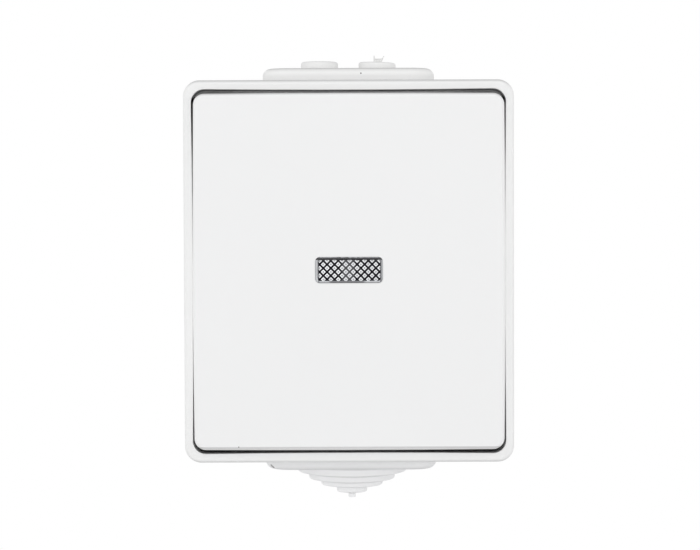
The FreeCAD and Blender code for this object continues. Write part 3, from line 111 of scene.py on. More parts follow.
class PlasticSettings(PropertyGroup):
    """The moulded white plastic of the housing and the rocker."""

    housing_colour: FloatVectorProperty(
        name="Housing colour",
        description="Base colour of the frame and the wall box",
        subtype="COLOR",
        default=(0.852, 0.854, 0.852),
        min=0,
        max=1,
    )
    rocker_colour: FloatVectorProperty(
        name="Rocker colour",
        description="Base colour of the rocker",
        subtype="COLOR",
        default=(0.85, 0.852, 0.854),
        min=0,
        max=1,
    )
    grain_size: FloatProperty(
        name="Grain size",
        description="Size of the fine grain that the mould leaves",
        default=0.22 * MM,
        unit="LENGTH",
        precision=5,
    )
    grain_depth: FloatProperty(
        name="Grain depth",
        description="Height of the fine grain",
        default=0.004 * MM,
        unit="LENGTH",
        precision=6,
    )
    roughness: FloatProperty(
        name="Roughness",
        description="Roughness of the satin skin",
        default=0.34,
        min=0,
        max=1,
    )
    # Painted shade on the edges that face up, and on those that face down
    upper_edge_shade: FloatProperty(
        name="Upper edge shade",
        description="How much duller the edges that face up are",
        default=0.34,
        min=0,
        max=1,
    )
    lower_edge_shade: FloatProperty(
        name="Lower edge shade",
        description="How much duller the edges that face down are",
        default=0.22,
        min=0,
        max=1,
    )
    # Painted light: the walls inside the gap are the same plastic, painted paler to lighten their
    # shade
    gap_painted_light_colour: FloatVectorProperty(
        name="Gap colour",
        description="Base colour of the clean walls inside the gap round the rocker",
        subtype="COLOR",
        default=(0.98, 0.98, 0.98),
        min=0,
        max=1,
    )
    # Painted shade: the walls, and the rocker's left edge, are painted black above these heights,
    # where the gap is dark
    left_painted_shade_height: FloatProperty(
        name="Left lining",
        description="Height above which the well's left wall, and the rocker's edge, show black",
        default=1 * MM,
        unit="LENGTH",
        precision=4,
    )
    right_painted_shade_height: FloatProperty(
        name="Right lining",
        description="Height above which the well's right wall shows black",
        default=32 * MM,
        unit="LENGTH",
        precision=4,
    )
    # Painted shade along the rounding above the rocker's lower edge
    line_shade: FloatProperty(
        name="Line shade",
        description="How much duller the line above the rocker's lower edge is",
        default=0.28,
        min=0,
        max=1,
    )


class RubberSettings(PropertyGroup):
    """The soft white rubber of the cable entries, and the black rubber in the well."""

    # Both entries are one white rubber; their colours are raised close to full white as painted
    # light, to lighten them in the frame's shade, and the lower one is a little bluer
    upper_colour_with_painted_light: FloatVectorProperty(
        name="Upper entry colour",
        description="Base colour of the upper cable entry",
        subtype="COLOR",
        default=(0.97, 0.97, 0.965),
        min=0,
        max=1,
    )
    lower_colour_with_painted_light: FloatVectorProperty(
        name="Lower entry colour",
        description="Base colour of the lower cable entry, whose rubber is fresher",
        subtype="COLOR",
        default=(0.965, 0.967, 0.975),
        min=0,
        max=1,
    )
    black_colour: FloatVectorProperty(
        name="Membrane colour",
        description="Base colour of the membrane that lines the well",
        subtype="COLOR",
        default=(0.018, 0.018, 0.019),
        min=0,
        max=1,
    )
    # Painted light: the membrane's rims are painted pale where light falls into the gap round the
    # rocker
    painted_light_rim_colour: FloatVectorProperty(
        name="Bloom colour",
        description="Grey of the dusty bloom along the membrane's upper and lower side rims",
        subtype="COLOR",
        default=(0.82, 0.82, 0.82),
        min=0,
        max=1,
    )
    mark_colour: FloatVectorProperty(
        name="Mark colour",
        description="Colour of the few small dark marks",
        subtype="COLOR",
        default=(0.16, 0.155, 0.15),
        min=0,
        max=1,
    )
    # Painted shade in the creases of the entries
    crease_shade: FloatProperty(
        name="Crease shade",
        description="How much duller the creases between the steps of an entry are",
        default=0.27,
        min=0,
        max=1,
    )
    roughness: FloatProperty(
        name="Roughness",
        description="Roughness of the soft rubber",
        default=0.52,
        min=0,
        max=1,
    )


class FlashSettings(PropertyGroup):
    """The torn rubber flash left on the right knockout."""

    spike_height: FloatProperty(
        name="Spike height",
        description="Height of the upright strand",
        default=1.15 * MM,
        unit="LENGTH",
        precision=5,
    )
    curl_height: FloatProperty(
        name="Curl height",
        description="Height of the curled strand",
        default=1.1 * MM,
        unit="LENGTH",
        precision=5,
    )
    strand_radius: FloatProperty(
        name="Strand radius",
        description="Radius of a strand where it joins the knockout",
        default=0.21 * MM,
        unit="LENGTH",
        precision=5,
    )
    colour: FloatVectorProperty(
        name="Flash colour",
        description="Base colour of the thin torn rubber",
        subtype="COLOR",
        default=(0.84, 0.84, 0.83),
        min=0,
        max=1,
    )
    web_height: FloatProperty(
        name="Web height",
        description="Height of the low web between the strands",
        default=0.4 * MM,
        unit="LENGTH",
        precision=5,
    )


class LensSettings(PropertyGroup):
    """The clear knurled lens."""

    # The lens colours are painted: bright facets as painted reflections, and grey lands, border
    # and dark grooves as painted shade of the dark inside seen through the clear lens
    cell_colour: FloatVectorProperty(
        name="Cell colour",
        description="Bright colour of the facets between the grooves",
        subtype="COLOR",
        default=(0.95, 0.96, 0.97),
        min=0,
        max=1,
    )
    dull_colour: FloatVectorProperty(
        name="Dull colour",
        description="Colour of the facets that mirror less light",
        subtype="COLOR",
        default=(0.5, 0.51, 0.54),
        min=0,
        max=1,
    )
    land_colour: FloatVectorProperty(
        name="Land colour",
        description="Grey of the small flat on top of each cell",
        subtype="COLOR",
        default=(0.32, 0.325, 0.345),
        min=0,
        max=1,
    )
    groove_colour: FloatVectorProperty(
        name="Groove colour",
        description="Near black of the groove bottoms, where the lens shows the dark inside",
        subtype="COLOR",
        default=(0.006, 0.006, 0.01),
        min=0,
        max=1,
    )
    border_colour: FloatVectorProperty(
        name="Border colour",
        description="Grey of the plain border round the knurl",
        subtype="COLOR",
        default=(0.5, 0.51, 0.53),
        min=0,
        max=1,
    )
    dark_depth: FloatProperty(
        name="Dark depth",
        description="Depth in a groove at which it turns dark",
        default=0.21 * MM,
        unit="LENGTH",
        precision=5,
    )
    # Painted light: emission that brightens the facets in place of the clear lens's reflections;
    # the lens is no lamp
    painted_glow: FloatProperty(
        name="Glow",
        description="Light that the clear lens throws back from within, as a share of its tone",
        default=0.3,
        min=0,
        max=1,
    )


class MechanismSettings(PropertyGroup):
    """The plastics, metals and lamp of the mechanism."""

    nylon_colour: FloatVectorProperty(
        name="Nylon colour",
        description="Base colour of the plungers and the drive yoke",
        subtype="COLOR",
        default=(0.74, 0.71, 0.62),
        min=0,
        max=1,
    )
    base_colour: FloatVectorProperty(
        name="Base colour",
        description="Base colour of the mechanism base and cover",
        subtype="COLOR",
        default=(0.47, 0.48, 0.49),
        min=0,
        max=1,
    )
    brass_colour: FloatVectorProperty(
        name="Brass colour",
        description="Base colour of the terminals and contacts",
        subtype="COLOR",
        default=(0.76, 0.56, 0.27),
        min=0,
        max=1,
    )
    steel_colour: FloatVectorProperty(
        name="Steel colour",
        description="Base colour of the plated screws",
        subtype="COLOR",
        default=(0.66, 0.67, 0.68),
        min=0,
        max=1,
    )
    spring_turns: IntProperty(
        name="Spring turns",
        description="Number of turns of each return spring",
        default=6,
        min=2,
        max=12,
    )
    spring_wire: FloatProperty(
        name="Spring wire",
        description="Radius of the wire of the return springs",
        default=0.35 * MM,
        unit="LENGTH",
        precision=5,
    )
    band_count: IntProperty(
        name="Bands",
        description="Number of value bands round the resistor",
        default=4,
        min=0,
        max=6,
    )


class StageSettings(PropertyGroup):
    """The floor, the light and the camera."""

    floor_drop: FloatProperty(
        name="Floor drop",
        description="How far the floor lies below the switch",
        default=160 * MM,
        unit="LENGTH",
    )
    floor_size: FloatProperty(
        name="Floor size", description="Side of the floor", default=6.0, unit="LENGTH"
    )
    shadow_reach: FloatProperty(
        name="Shadow reach",
        description="Distance from the switch at which the floor is plain white",
        default=400 * MM,
        unit="LENGTH",
    )
    sky_strength: FloatProperty(
        name="Sky strength",
        description="Strength of the even light from all round",
        default=0.64,
        min=0,
    )
    key_power: FloatProperty(
        name="Key power",
        description="Power of the large soft light above the front",
        default=3.95,
        min=0,
        unit="POWER",
    )
    key_size: FloatProperty(
        name="Key size", description="Side of the soft light", default=1.3, unit="LENGTH"
    )
    fill_power: FloatProperty(
        name="Fill power",
        description="Power of the level light in front, which reaches under the frame",
        default=2.0,
        min=0,
        unit="POWER",
    )
    fill_size: FloatProperty(
        name="Fill size", description="Side of the level light", default=0.34, unit="LENGTH"
    )
    left_power: FloatProperty(
        name="Left power",
        description="Power of the light at the left of the switch",
        default=1.95,
        min=0,
        unit="POWER",
    )
    right_power: FloatProperty(
        name="Right power",
        description="Power of the light at the right of the switch",
        default=1.6,
        min=0,
        unit="POWER",
    )
    side_size: FloatProperty(
        name="Side size", description="Side of each light beside", default=0.6, unit="LENGTH"
    )
    camera_distance: FloatProperty(
        name="Camera distance",
        description="From the camera to the front of the frame",
        default=400 * MM,
        unit="LENGTH",
    )
    camera_elevation: FloatProperty(
        name="Camera elevation",
        description="Angle of the camera above the level",
        default=math.radians(1.94),
        unit="ROTATION",
    )
    camera_roll: FloatProperty(
        name="Camera roll",
        description="Turn of the camera about its own axis",
        default=math.radians(0.2),
        unit="ROTATION",
    )
    camera_lens: FloatProperty(
        name="Camera lens", description="Focal length in millimetres", default=103.1, min=1
    )


def feed(tree, socket, value):
    """Link a field to a socket, or set the socket to a plain value."""
    if isinstance(value, Field):
        tree.links.new(value.socket, socket)
    elif hasattr(value, "__len__") and len(socket.default_value) == 4:
        socket.default_value = (*tuple(value)[:3], 1)
    else:
        socket.default_value = value


class Field:
    """A number or colour that varies over a surface. Arithmetic on it adds Math nodes."""

    def __init__(self, tree, socket):
        self.tree = tree
        self.socket = socket

    def maths(self, operation, *values):
        node = self.tree.nodes.new("ShaderNodeMath")
        node.operation = operation
        for socket, value in zip(node.inputs, values):
            feed(self.tree, socket, value)
        return Field(self.tree, node.outputs[0])

    def __add__(self, other):
        return self.maths("ADD", self, other)

    def __radd__(self, other):
        return self.maths("ADD", other, self)

    def __sub__(self, other):
        return self.maths("SUBTRACT", self, other)

    def __rsub__(self, other):
        return self.maths("SUBTRACT", other, self)

    def __mul__(self, other):
        return self.maths("MULTIPLY", self, other)

    def __rmul__(self, other):
        return self.maths("MULTIPLY", other, self)

    def __neg__(self):
        return self.maths("SUBTRACT", 0, self)

    def __abs__(self):
        return self.maths("ABSOLUTE", self)

    def largest(self, other):
        return self.maths("MAXIMUM", self, other)


class Finish:
    """One material: its nodes, and the shader that they feed."""

    def __init__(self, name, **constants):
        self.material = bpy.data.materials.new(name)
        self.material.use_nodes = True
        self.tree = self.material.node_tree
        self.tree.nodes.clear()
        self.shader = self.tree.nodes.new("ShaderNodeBsdfPrincipled")
        surface = self.tree.nodes.new("ShaderNodeOutputMaterial")
        self.tree.links.new(self.shader.outputs["BSDF"], surface.inputs["Surface"])
        for socket, value in constants.items():
            self.set(socket.replace("_", " "), value)

    def set(self, socket, value):
        """Give one of the shader's sockets a field or a constant."""
        feed(self.tree, self.shader.inputs[socket], value)

    def node(self, kind, settings=None, sockets=None, output=0):
        """Add a node, set it up, feed its sockets, and return one of its outputs."""
        made = self.tree.nodes.new(kind)
        for setting, value in (settings or {}).items():
            setattr(made, setting, value)
        for socket, value in (sockets or {}).items():
            feed(self.tree, made.inputs[socket], value)
        return Field(self.tree, made.outputs[output])

    def place(self):
        """Where a point of the surface is, on the piece at rest."""
        return self.node("ShaderNodeTexCoord", output="Object")

    def axes(self, place):
        """The three coordinates of a place."""
        split = self.node("ShaderNodeSeparateXYZ", sockets={"Vector": place})
        outputs = split.socket.node.outputs
        return [Field(self.tree, outputs[axis]) for axis in "XYZ"]

    def facing(self):
        """The three coordinates of the direction that the surface faces."""
        return self.axes(self.node("ShaderNodeNewGeometry", output="Normal"))

    def noise(self, place, size, detail=2.0, roughness=0.5):
        """Soft noise from 0 to 1, whose blobs have about this size."""
        sockets = {"Vector": place, "Scale": 1 / size, "Detail": detail, "Roughness": roughness}
        return self.node("ShaderNodeTexNoise", sockets=sockets)

    def stretched(self, place, scale):
        """A place with its axes scaled, so that a pattern on it runs into streaks."""
        return self.node(
            "ShaderNodeVectorMath", {"operation": "MULTIPLY"}, {0: place, 1: Vector(scale)}
        )

    def rise(self, value, start, end):
        """0 below start, 1 above end, and smooth between them."""
        sockets = {"Value": value, "From Min": start, "From Max": end}
        return self.node("ShaderNodeMapRange", {"interpolation_type": "SMOOTHSTEP"}, sockets)

    def blend(self, mask, first, second):
        """One colour where the mask is 0 and another where it is 1."""
        sockets = {0: mask, 6: first, 7: second}
        return self.node("ShaderNodeMix", {"data_type": "RGBA"}, sockets, output=2)

    def shade(self, colour, level):
        """A colour made lighter or darker by a level."""
        sockets = {0: colour, "Scale": level}
        return self.node("ShaderNodeVectorMath", {"operation": "SCALE"}, sockets)

    def edge_shade(self, upper, lower):
        """Painted shade: 1 on upright faces, and less by these shares on faces turned up or down.
        """
        upward = self.facing()[2]
        return 1 - upper * self.rise(upward, 0.3, 1) - lower * self.rise(-upward, 0.3, 1)

    def mark(self, place, centre, radius):
        """1 at a small round mark and 0 away from it."""
        sockets = {0: place, 1: Vector(centre)}
        away = self.node("ShaderNodeVectorMath", {"operation": "DISTANCE"}, sockets, "Value")
        return 1 - self.rise(away, radius * 0.5, radius)

    def bump(self, height, depth):
        """Relief of a given depth on the shader's normal."""
        sockets = {"Height": height, "Distance": depth}
        self.set("Normal", self.node("ShaderNodeBump", sockets=sockets))


def dress(finish, *names):
    """Give CAD nodes a finish through their own material slots."""
    for name in names:
        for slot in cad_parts[name].material_slots:
            slot.material = finish.material


def moulded(name, colour, settings, cloud_size):
    """Satin moulded plastic: fine grain, faint flow clouds and painted shade on edges that face
    up or down. Returns its tone too.
    """
    finish = Finish(name)
    place = finish.place()
    grain = finish.noise(place, settings.grain_size, detail=3)
    clouds = finish.noise(place, cloud_size, detail=2)
    # Painted shade on edges that face up or down
    edges = finish.edge_shade(settings.upper_edge_shade, settings.lower_edge_shade)
    tone = finish.shade(colour, (0.99 + 0.02 * clouds) * edges)
    finish.set("Base Color", tone)
    finish.set("Roughness", settings.roughness - 0.03 + 0.08 * grain)
    finish.bump(grain, settings.grain_depth)
    return finish, place, tone


class SWITCH_OT_dress_housing(Operator):
    """Finish the frame and the wall box, with painted light and painted black shade on the walls
    of the rocker's gap
    """

    bl_idname = "switch.dress_housing"
    bl_label = "Dress Housing"

    def execute(self, context):
        settings = context.scene.switch_plastic
        finish, place, tone = moulded(
            "housing_plastic", settings.housing_colour, settings, 30 * MM
        )
        x, y, z = finish.axes(place)
        rightward = finish.facing()[0]
        front = CAD_BOX[0].y
        side = ROCKER_BOX[1].x - 1 * MM
        left = finish.rise(-x, side - 1 * MM, side) * finish.rise(rightward, 0.85, 0.97)
        right = finish.rise(x, side - 1 * MM, side) * finish.rise(-rightward, 0.85, 0.97)
        walls = left.largest(right)
        left = left * finish.rise(z, settings.left_painted_shade_height, settings.left_painted_shade_height + PAINTED_SHADE_FADE)
        right = right * finish.rise(z, settings.right_painted_shade_height, settings.right_painted_shade_height + PAINTED_SHADE_FADE)
        behind = finish.rise(y, front + 0.08 * MM, front + 0.2 * MM)
        # Painted light: the walls of the gap are painted paler than the plastic
        tone = finish.blend(walls * behind, tone, settings.gap_painted_light_colour)
        # Painted shade: black on the left and right walls of the gap above their heights
        painted_black_shade = left.largest(right) * behind
        tone = finish.blend(painted_black_shade, tone, context.scene.switch_rubber.black_colour)
        finish.set("Base Color", tone)
        dress(finish, "cover_frame", "back_box")
        return {"FINISHED"}


class SWITCH_OT_dress_rocker(Operator):
    """Finish the rocker: painted shade along its lower edge and on its left edge, painted light
    on its sides, and a speck
    """

    bl_idname = "switch.dress_rocker"
    bl_label = "Dress Rocker"

    def execute(self, context):
        settings = context.scene.switch_plastic
        low = ROCKER_BOX[0]
        finish, place, tone = moulded("rocker_plastic", settings.rocker_colour, settings, 45 * MM)
        _, y, z = finish.axes(place)
        above = z - low.z
        # Painted shade: a line above the lower edge, and a strip below it, where the edge rounds
        # away
        line_height = 0.57 * MM
        line = 1 - finish.rise(abs(above - line_height), 0.1 * MM, 0.3 * MM)
        painted_lower_edge_shade = 1 - finish.rise(above, 0.3 * MM, 0.5 * MM)
        tone = finish.shade(tone, 1 - (line * settings.line_shade).largest(painted_lower_edge_shade * 0.06))
        # Painted light on the rocker's sides, and painted black shade on the rounding of its left
        # edge, stronger towards the top
        rightward = finish.facing()[0]
        tone = finish.blend(finish.rise(abs(rightward), 0.8, 0.95), tone, settings.gap_painted_light_colour)
        upper = finish.rise(z, settings.left_painted_shade_height, settings.left_painted_shade_height + PAINTED_SHADE_FADE)
        rounding = 1 - finish.rise(y - low.y, 0.7 * MM, 1.0 * MM)
        painted_black_edge = finish.rise(-rightward, 0.75, 0.9) * upper * rounding
        painted_black_edge = painted_black_edge * (0.3 + 0.7 * finish.rise(z, 0, ROCKER_BOX[1].z - 4 * MM))
        tone = finish.blend(painted_black_edge, tone, context.scene.switch_rubber.black_colour)
        speck = finish.mark(place, (low.x + 9.0 * MM, low.y, low.z + 0.75 * MM), 0.16 * MM)
        tone = finish.blend(speck, tone, context.scene.switch_rubber.mark_colour)
        finish.set("Base Color", tone)
        dress(finish, "rocker")
        return {"FINISHED"}


def entry_rubber(name, colour, settings, creases=(), marks=()):
    """Soft white rubber with a fine skin, painted shade on its edges and in its creases, and
    small marks.
    """
    finish = Finish(name)
    place = finish.place()
    skin = finish.noise(place, 0.5 * MM, detail=3)
    clouds = finish.noise(place, 9 * MM, detail=2)
    # Painted shade on edges that face up or down, and in each crease below
    light = (0.985 + 0.03 * clouds) * finish.edge_shade(0.2, 0.12)
    height = finish.axes(place)[2]
    for level, reach, share in creases:
        end = (reach + CREASE_FADE) * MM
        crease = 1 - finish.rise(abs(height - level * MM), reach * MM, end)
        light = light * (1 - settings.crease_shade * share * crease)
    tone = finish.shade(colour, light)
    for centre, radius in marks:
        tone = finish.blend(finish.mark(place, centre, radius), tone, settings.mark_colour)
    finish.set("Base Color", tone)
    finish.set("Roughness", settings.roughness - 0.05 + 0.1 * skin)
    finish.bump(skin, 0.008 * MM)
    return finish


class SWITCH_OT_dress_entries(Operator):
    """Finish both cable entries in soft white rubber, with painted shade in their creases and
    their small dark marks
    """

    bl_idname = "switch.dress_entries"
    bl_label = "Dress Cable Entries"

    def execute(self, context):
        settings = context.scene.switch_rubber
        front = TOP_GROMMET_BOX[0].y
        corner = BOTTOM_GROMMET_BOX[0].x
        # Centre and radius of each mark
        speck = [((2.6 * MM, front, 40.6 * MM), 0.22 * MM)]
        smears = [
            ((corner + 1.0 * MM, front + 1.8 * MM, -41.45 * MM), 0.65 * MM),
            ((corner + 1.5 * MM, front + 1.8 * MM, -41.7 * MM), 0.5 * MM),
        ]
        upper = entry_rubber(
            "upper_entry_rubber", settings.upper_colour_with_painted_light, settings, UPPER_CREASES, speck
        )
        dress(upper, "top_grommet")
        lower = entry_rubber(
            "lower_entry_rubber", settings.lower_colour_with_painted_light, settings, LOWER_CREASES, smears
        )
        dress(lower, "bottom_grommet")
        return {"FINISHED"}


class SWITCH_OT_dress_seals(Operator):
    """Finish the black membrane in the well, with painted light on its rims, and the grey foam
    ring under the frame
    """

    bl_idname = "switch.dress_seals"
    bl_label = "Dress Seals"

    def execute(self, context):
        settings = context.scene.switch_rubber
        black = Finish("membrane_rubber")
        place = black.place()
        dust = black.noise(place, 1.2 * MM, detail=4)
        x, _, z = black.axes(place)
        high = MEMBRANE_BOX[1]
        # Painted light along the upper rim, and along the side rims in the lower half
        upper_rim = black.rise(z, high.z - 1.5 * MM, high.z - 1.0 * MM)
        upper_rim = upper_rim * (1 - black.rise(abs(x), 14 * MM, 28 * MM) * 0.5)
        side_rims = black.rise(abs(x), high.x - 1.5 * MM, high.x - 1.0 * MM)
        lower_half = (1 - black.rise(z, -4 * MM, 0)) * black.rise(z, -36 * MM, -26 * MM)
        painted_light_rims = upper_rim.largest(side_rims * lower_half)
        tone = black.blend(painted_light_rims, settings.black_colour, settings.painted_light_rim_colour)
        black.set("Base Color", black.shade(tone, 0.8 + 0.5 * dust))
        black.set("Roughness", 0.55 + 0.15 * dust)
        black.bump(dust, 0.01 * MM)
        dress(black, "sealing_membrane")

        foam = Finish("foam_rubber")
        place = foam.place()
        cells = foam.node(
            "ShaderNodeTexVoronoi", {"feature": "F1"}, {"Vector": place, "Scale": 1 / (0.35 * MM)}
        )
        foam.set("Base Color", foam.blend(cells, (0.06, 0.06, 0.065), (0.2, 0.2, 0.21)))
        foam.set("Roughness", 0.85 + 0.1 * cells)
        foam.bump(cells, 0.08 * MM)
        dress(foam, "box_seal")
        return {"FINISHED"}


class SWITCH_OT_dress_lens(Operator):
    """Finish the clear lens with painted optics: dark groove bottoms, bright facets, a grey
    border and a painted glow
    """

    bl_idname = "switch.dress_lens"
    bl_label = "Dress Lens"

    def knurl(self, finish, place, ripple, settings):
        """Colour of the knurl, painted: bright facets as painted reflections, and grey lands and
        dark grooves as painted shade of the dark inside seen through the clear lens.
        """
        x, y, _ = finish.axes(place)
        patches = finish.noise(finish.stretched(place, (1, 1, 0.4)), 2.2 * MM, detail=2)
        depth = y - LENS_BOX[0].y
        # Down the middle the facets are painted duller and the grooves darker
        middle = 1 - finish.rise(abs(x + 0.1 * MM), 0.9 * MM, 1.6 * MM)
        deep = settings.dark_depth + 0.015 * MM * middle
        dark = finish.rise(depth + 0.06 * MM * ripple, deep, deep + 0.06 * MM)
        land = 1 - finish.rise(depth, 0.02 * MM, 0.1 * MM)
        # Painted reflection: facets duller where they mirror less light, in patches and down the
        # middle
        dull = (finish.rise(patches, 0.42, 0.72) * 0.5).largest(middle * 0.45)
        facet = finish.blend(dull, settings.cell_colour, settings.dull_colour)
        tone = finish.blend(land, facet, settings.land_colour)
        return finish.blend(dark * (1 - 0.1 * middle), tone, settings.groove_colour)

    def border(self, finish, place):
        """Masks of the plain border round the knurl and of the dark lines along it."""
        x, _, z = finish.axes(place)
        low, high = LENS_BOX
        flange = 1.0 * MM       # hidden under the rocker, all round
        from_left = x - (low.x + flange)
        from_right = (high.x - flange) - x
        from_bottom = z - (low.z + flange)
        from_top = (high.z - flange) - z

        left_band = 0.62 * MM
        line = 0.12 * MM
        in_left = 1 - finish.rise(from_left, left_band, left_band + 0.05 * MM)
        left_line = 1 - finish.rise(abs(from_left - left_band - line), line * 0.8, line * 1.3)
        in_right = 1 - finish.rise(from_right, 0.5 * MM, 0.56 * MM)
        right_fade = finish.rise(from_right, 0.12 * MM, 0.46 * MM)
        in_bottom = 1 - finish.rise(from_bottom, 0.42 * MM, 0.47 * MM)
        bottom_line = 1 - finish.rise(from_bottom, line * 1.2, line * 1.8)
        bottom_middle = 1 - finish.rise(abs(x + 0.4 * MM), 3.1 * MM, 3.9 * MM)

        lumps = finish.noise(place, 1.1 * MM, detail=3)
        lumpy_part = 1 - finish.rise(abs(x), 2 * MM, 3.5 * MM)
        edge = from_top + 0.8 * MM * (lumps - 0.5) * lumpy_part
        in_top = 1 - finish.rise(edge, 0.54 * MM, 0.7 * MM)
        top_rim = 1 - finish.rise(edge, 0.1 * MM, 0.2 * MM)

        inside = in_left.largest(in_bottom).largest(in_right).largest(in_top)
        lines = (left_line * 0.6).largest(in_bottom * bottom_middle * 0.7)
        lines = lines.largest(bottom_line * 0.45).largest(in_right * right_fade * 0.85)
        return inside, lines.largest(in_top * (1 - top_rim) * 0.98)

    def execute(self, context):
        settings = context.scene.switch_lens
        finish = Finish(
            "lens_clear", IOR=1.58, Coat_Weight=0.5, Coat_Roughness=0.04, Emission_Strength=1.0
        )
        place = finish.place()
        ripple = finish.noise(place, 0.6 * MM, detail=2)
        tone = self.knurl(finish, place, ripple, settings)
        border, lines = self.border(finish, place)
        tone = finish.blend(border, tone, settings.border_colour)
        tone = finish.blend(lines, tone, settings.groove_colour)
        finish.set("Base Color", tone)
        # Painted glow on the facets, away from the border
        finish.set("Emission Color", finish.shade(tone, settings.painted_glow * (1 - border)))
        finish.set("Roughness", 0.06 + 0.06 * ripple)
        dress(finish, "lens")
        return {"FINISHED"}


def cast_plastic(name, colour, roughness, speckle):
    """Plain technical plastic with a fine speckle."""
    finish = Finish(name)
    place = finish.place()
    grains = finish.noise(place, 0.3 * MM, detail=4, roughness=0.7)
    clouds = finish.noise(place, 6 * MM, detail=2)
    finish.set("Base Color", finish.shade(colour, 1 - speckle + 2 * speckle * grains * clouds))
    finish.set("Roughness", roughness - 0.05 + 0.1 * grains)
    finish.bump(grains, 0.006 * MM)
    return finish


class SWITCH_OT_dress_mechanism(Operator):
    """Finish the mechanism's base and cover, the yoke, the plungers and the lamp holder"""

    bl_idname = "switch.dress_mechanism"
    bl_label = "Dress Mechanism"

    def execute(self, context):
        settings = context.scene.switch_mechanism
        base = cast_plastic("thermoset_grey", settings.base_colour, 0.5, 0.12)
        dress(base, "mechanism_base", "mechanism_cover")
        nylon = cast_plastic("nylon_natural", settings.nylon_colour, 0.42, 0.04)
        dress(nylon, "drive_yoke", "upper_plunger", "lower_plunger", "lamp_holder")
        return {"FINISHED"}


def metal(name, colour, roughness, streak_scale):
    """Metal with drawn streaks and slight tarnish."""
    finish = Finish(name, Metallic=1.0)
    place = finish.place()
    streaks = finish.noise(finish.stretched(place, streak_scale), 0.4 * MM, detail=3)
    tarnish = finish.noise(place, 2.5 * MM, detail=3)
    finish.set("Base Color", finish.shade(colour, 0.82 + 0.3 * tarnish))
    finish.set("Roughness", roughness - 0.08 + 0.16 * streaks)
    finish.bump(streaks, 0.003 * MM)
    return finish


class SWITCH_OT_dress_metal(Operator):
    """Finish the brass contacts and terminals, the plated screws and the lamp's leads"""

    bl_idname = "switch.dress_metal"
    bl_label = "Dress Metal Parts"

    def execute(self, context):
        settings = context.scene.switch_mechanism
        brass = metal("contact_brass", settings.brass_colour, 0.32, (1, 1, 0.15))
        dress(
            brass,
            "common_terminal",
            "upper_terminal",
            "lower_terminal",
            "neutral_terminal",
            "upper_bridge",
            "lower_bridge",
        )
        zinc = metal("zinc_plate", settings.steel_colour, 0.3, (1, 0.2, 1))
        dress(zinc, "terminal_screws", "mechanism_screws", "cover_screws")
        tinned = metal("tinned_copper", (0.72, 0.71, 0.69), 0.38, (1, 1, 1))
        dress(tinned, "lamp_leads")
        return {"FINISHED"}


class SWITCH_OT_dress_lamp(Operator):
    """Finish the glass lamp and its banded resistor"""

    bl_idname = "switch.dress_lamp"
    bl_label = "Dress Lamp"

    def execute(self, context):
        glass = Finish("lamp_glass", Roughness=0.03, IOR=1.5, Transmission_Weight=0.85)
        place = glass.place()
        film = glass.noise(place, 1.5 * MM, detail=2)
        glass.set("Base Color", glass.blend(film, (0.97, 0.93, 0.88), (0.93, 0.86, 0.78)))
        dress(glass, "neon_lamp")

        ceramic = Finish("resistor_ceramic")
        place = ceramic.place()
        x = ceramic.axes(place)[0]
        bands = context.scene.switch_mechanism.band_count
        span = (RESISTOR_BOX[1].x - RESISTOR_BOX[0].x) / (bands + 2)
        tone = ceramic.shade((0.62, 0.5, 0.34), 0.9 + 0.2 * ceramic.noise(place, 0.5 * MM))
        band_colours = (
            (0.12, 0.05, 0.03),
            (0.02, 0.02, 0.02),
            (0.75, 0.5, 0.05),
            (0.6, 0.42, 0.1),
        )
        for number in range(bands):
            middle = RESISTOR_BOX[0].x + span * (number + 1.25)
            band = 1 - ceramic.rise(abs(x - middle), 0.22 * MM, 0.26 * MM)
            tone = ceramic.blend(band, tone, band_colours[number % len(band_colours)])
        ceramic.set("Base Color", tone)
        ceramic.set("Roughness", 0.4 + 0.1 * ceramic.noise(place, 0.3 * MM))
        dress(ceramic, "lamp_resistor")
        return {"FINISHED"}


def join_rings(builder, rings):
    """Skin a row of rings that have as many points, and close both ends."""
    for first, second in zip(rings, rings[1:]):
        for side in range(len(first)):
            following = (side + 1) % len(first)
            builder.faces.new((first[side], first[following], second[following], second[side]))
    builder.faces.new(rings[0][::-1])
    builder.faces.new(rings[-1])


def finished_mesh(context, name, builder, finish):
    """Turn a builder into a smooth object of that name and finish."""
    mesh = bpy.data.meshes.new(name)
    bmesh.ops.recalc_face_normals(builder, faces=builder.faces)
    builder.to_mesh(mesh)
    builder.free()
    mesh.shade_smooth()
    mesh.materials.append(finish.material)
    piece = bpy.data.objects.new(name, mesh)
    context.scene.collection.objects.link(piece)
    return piece


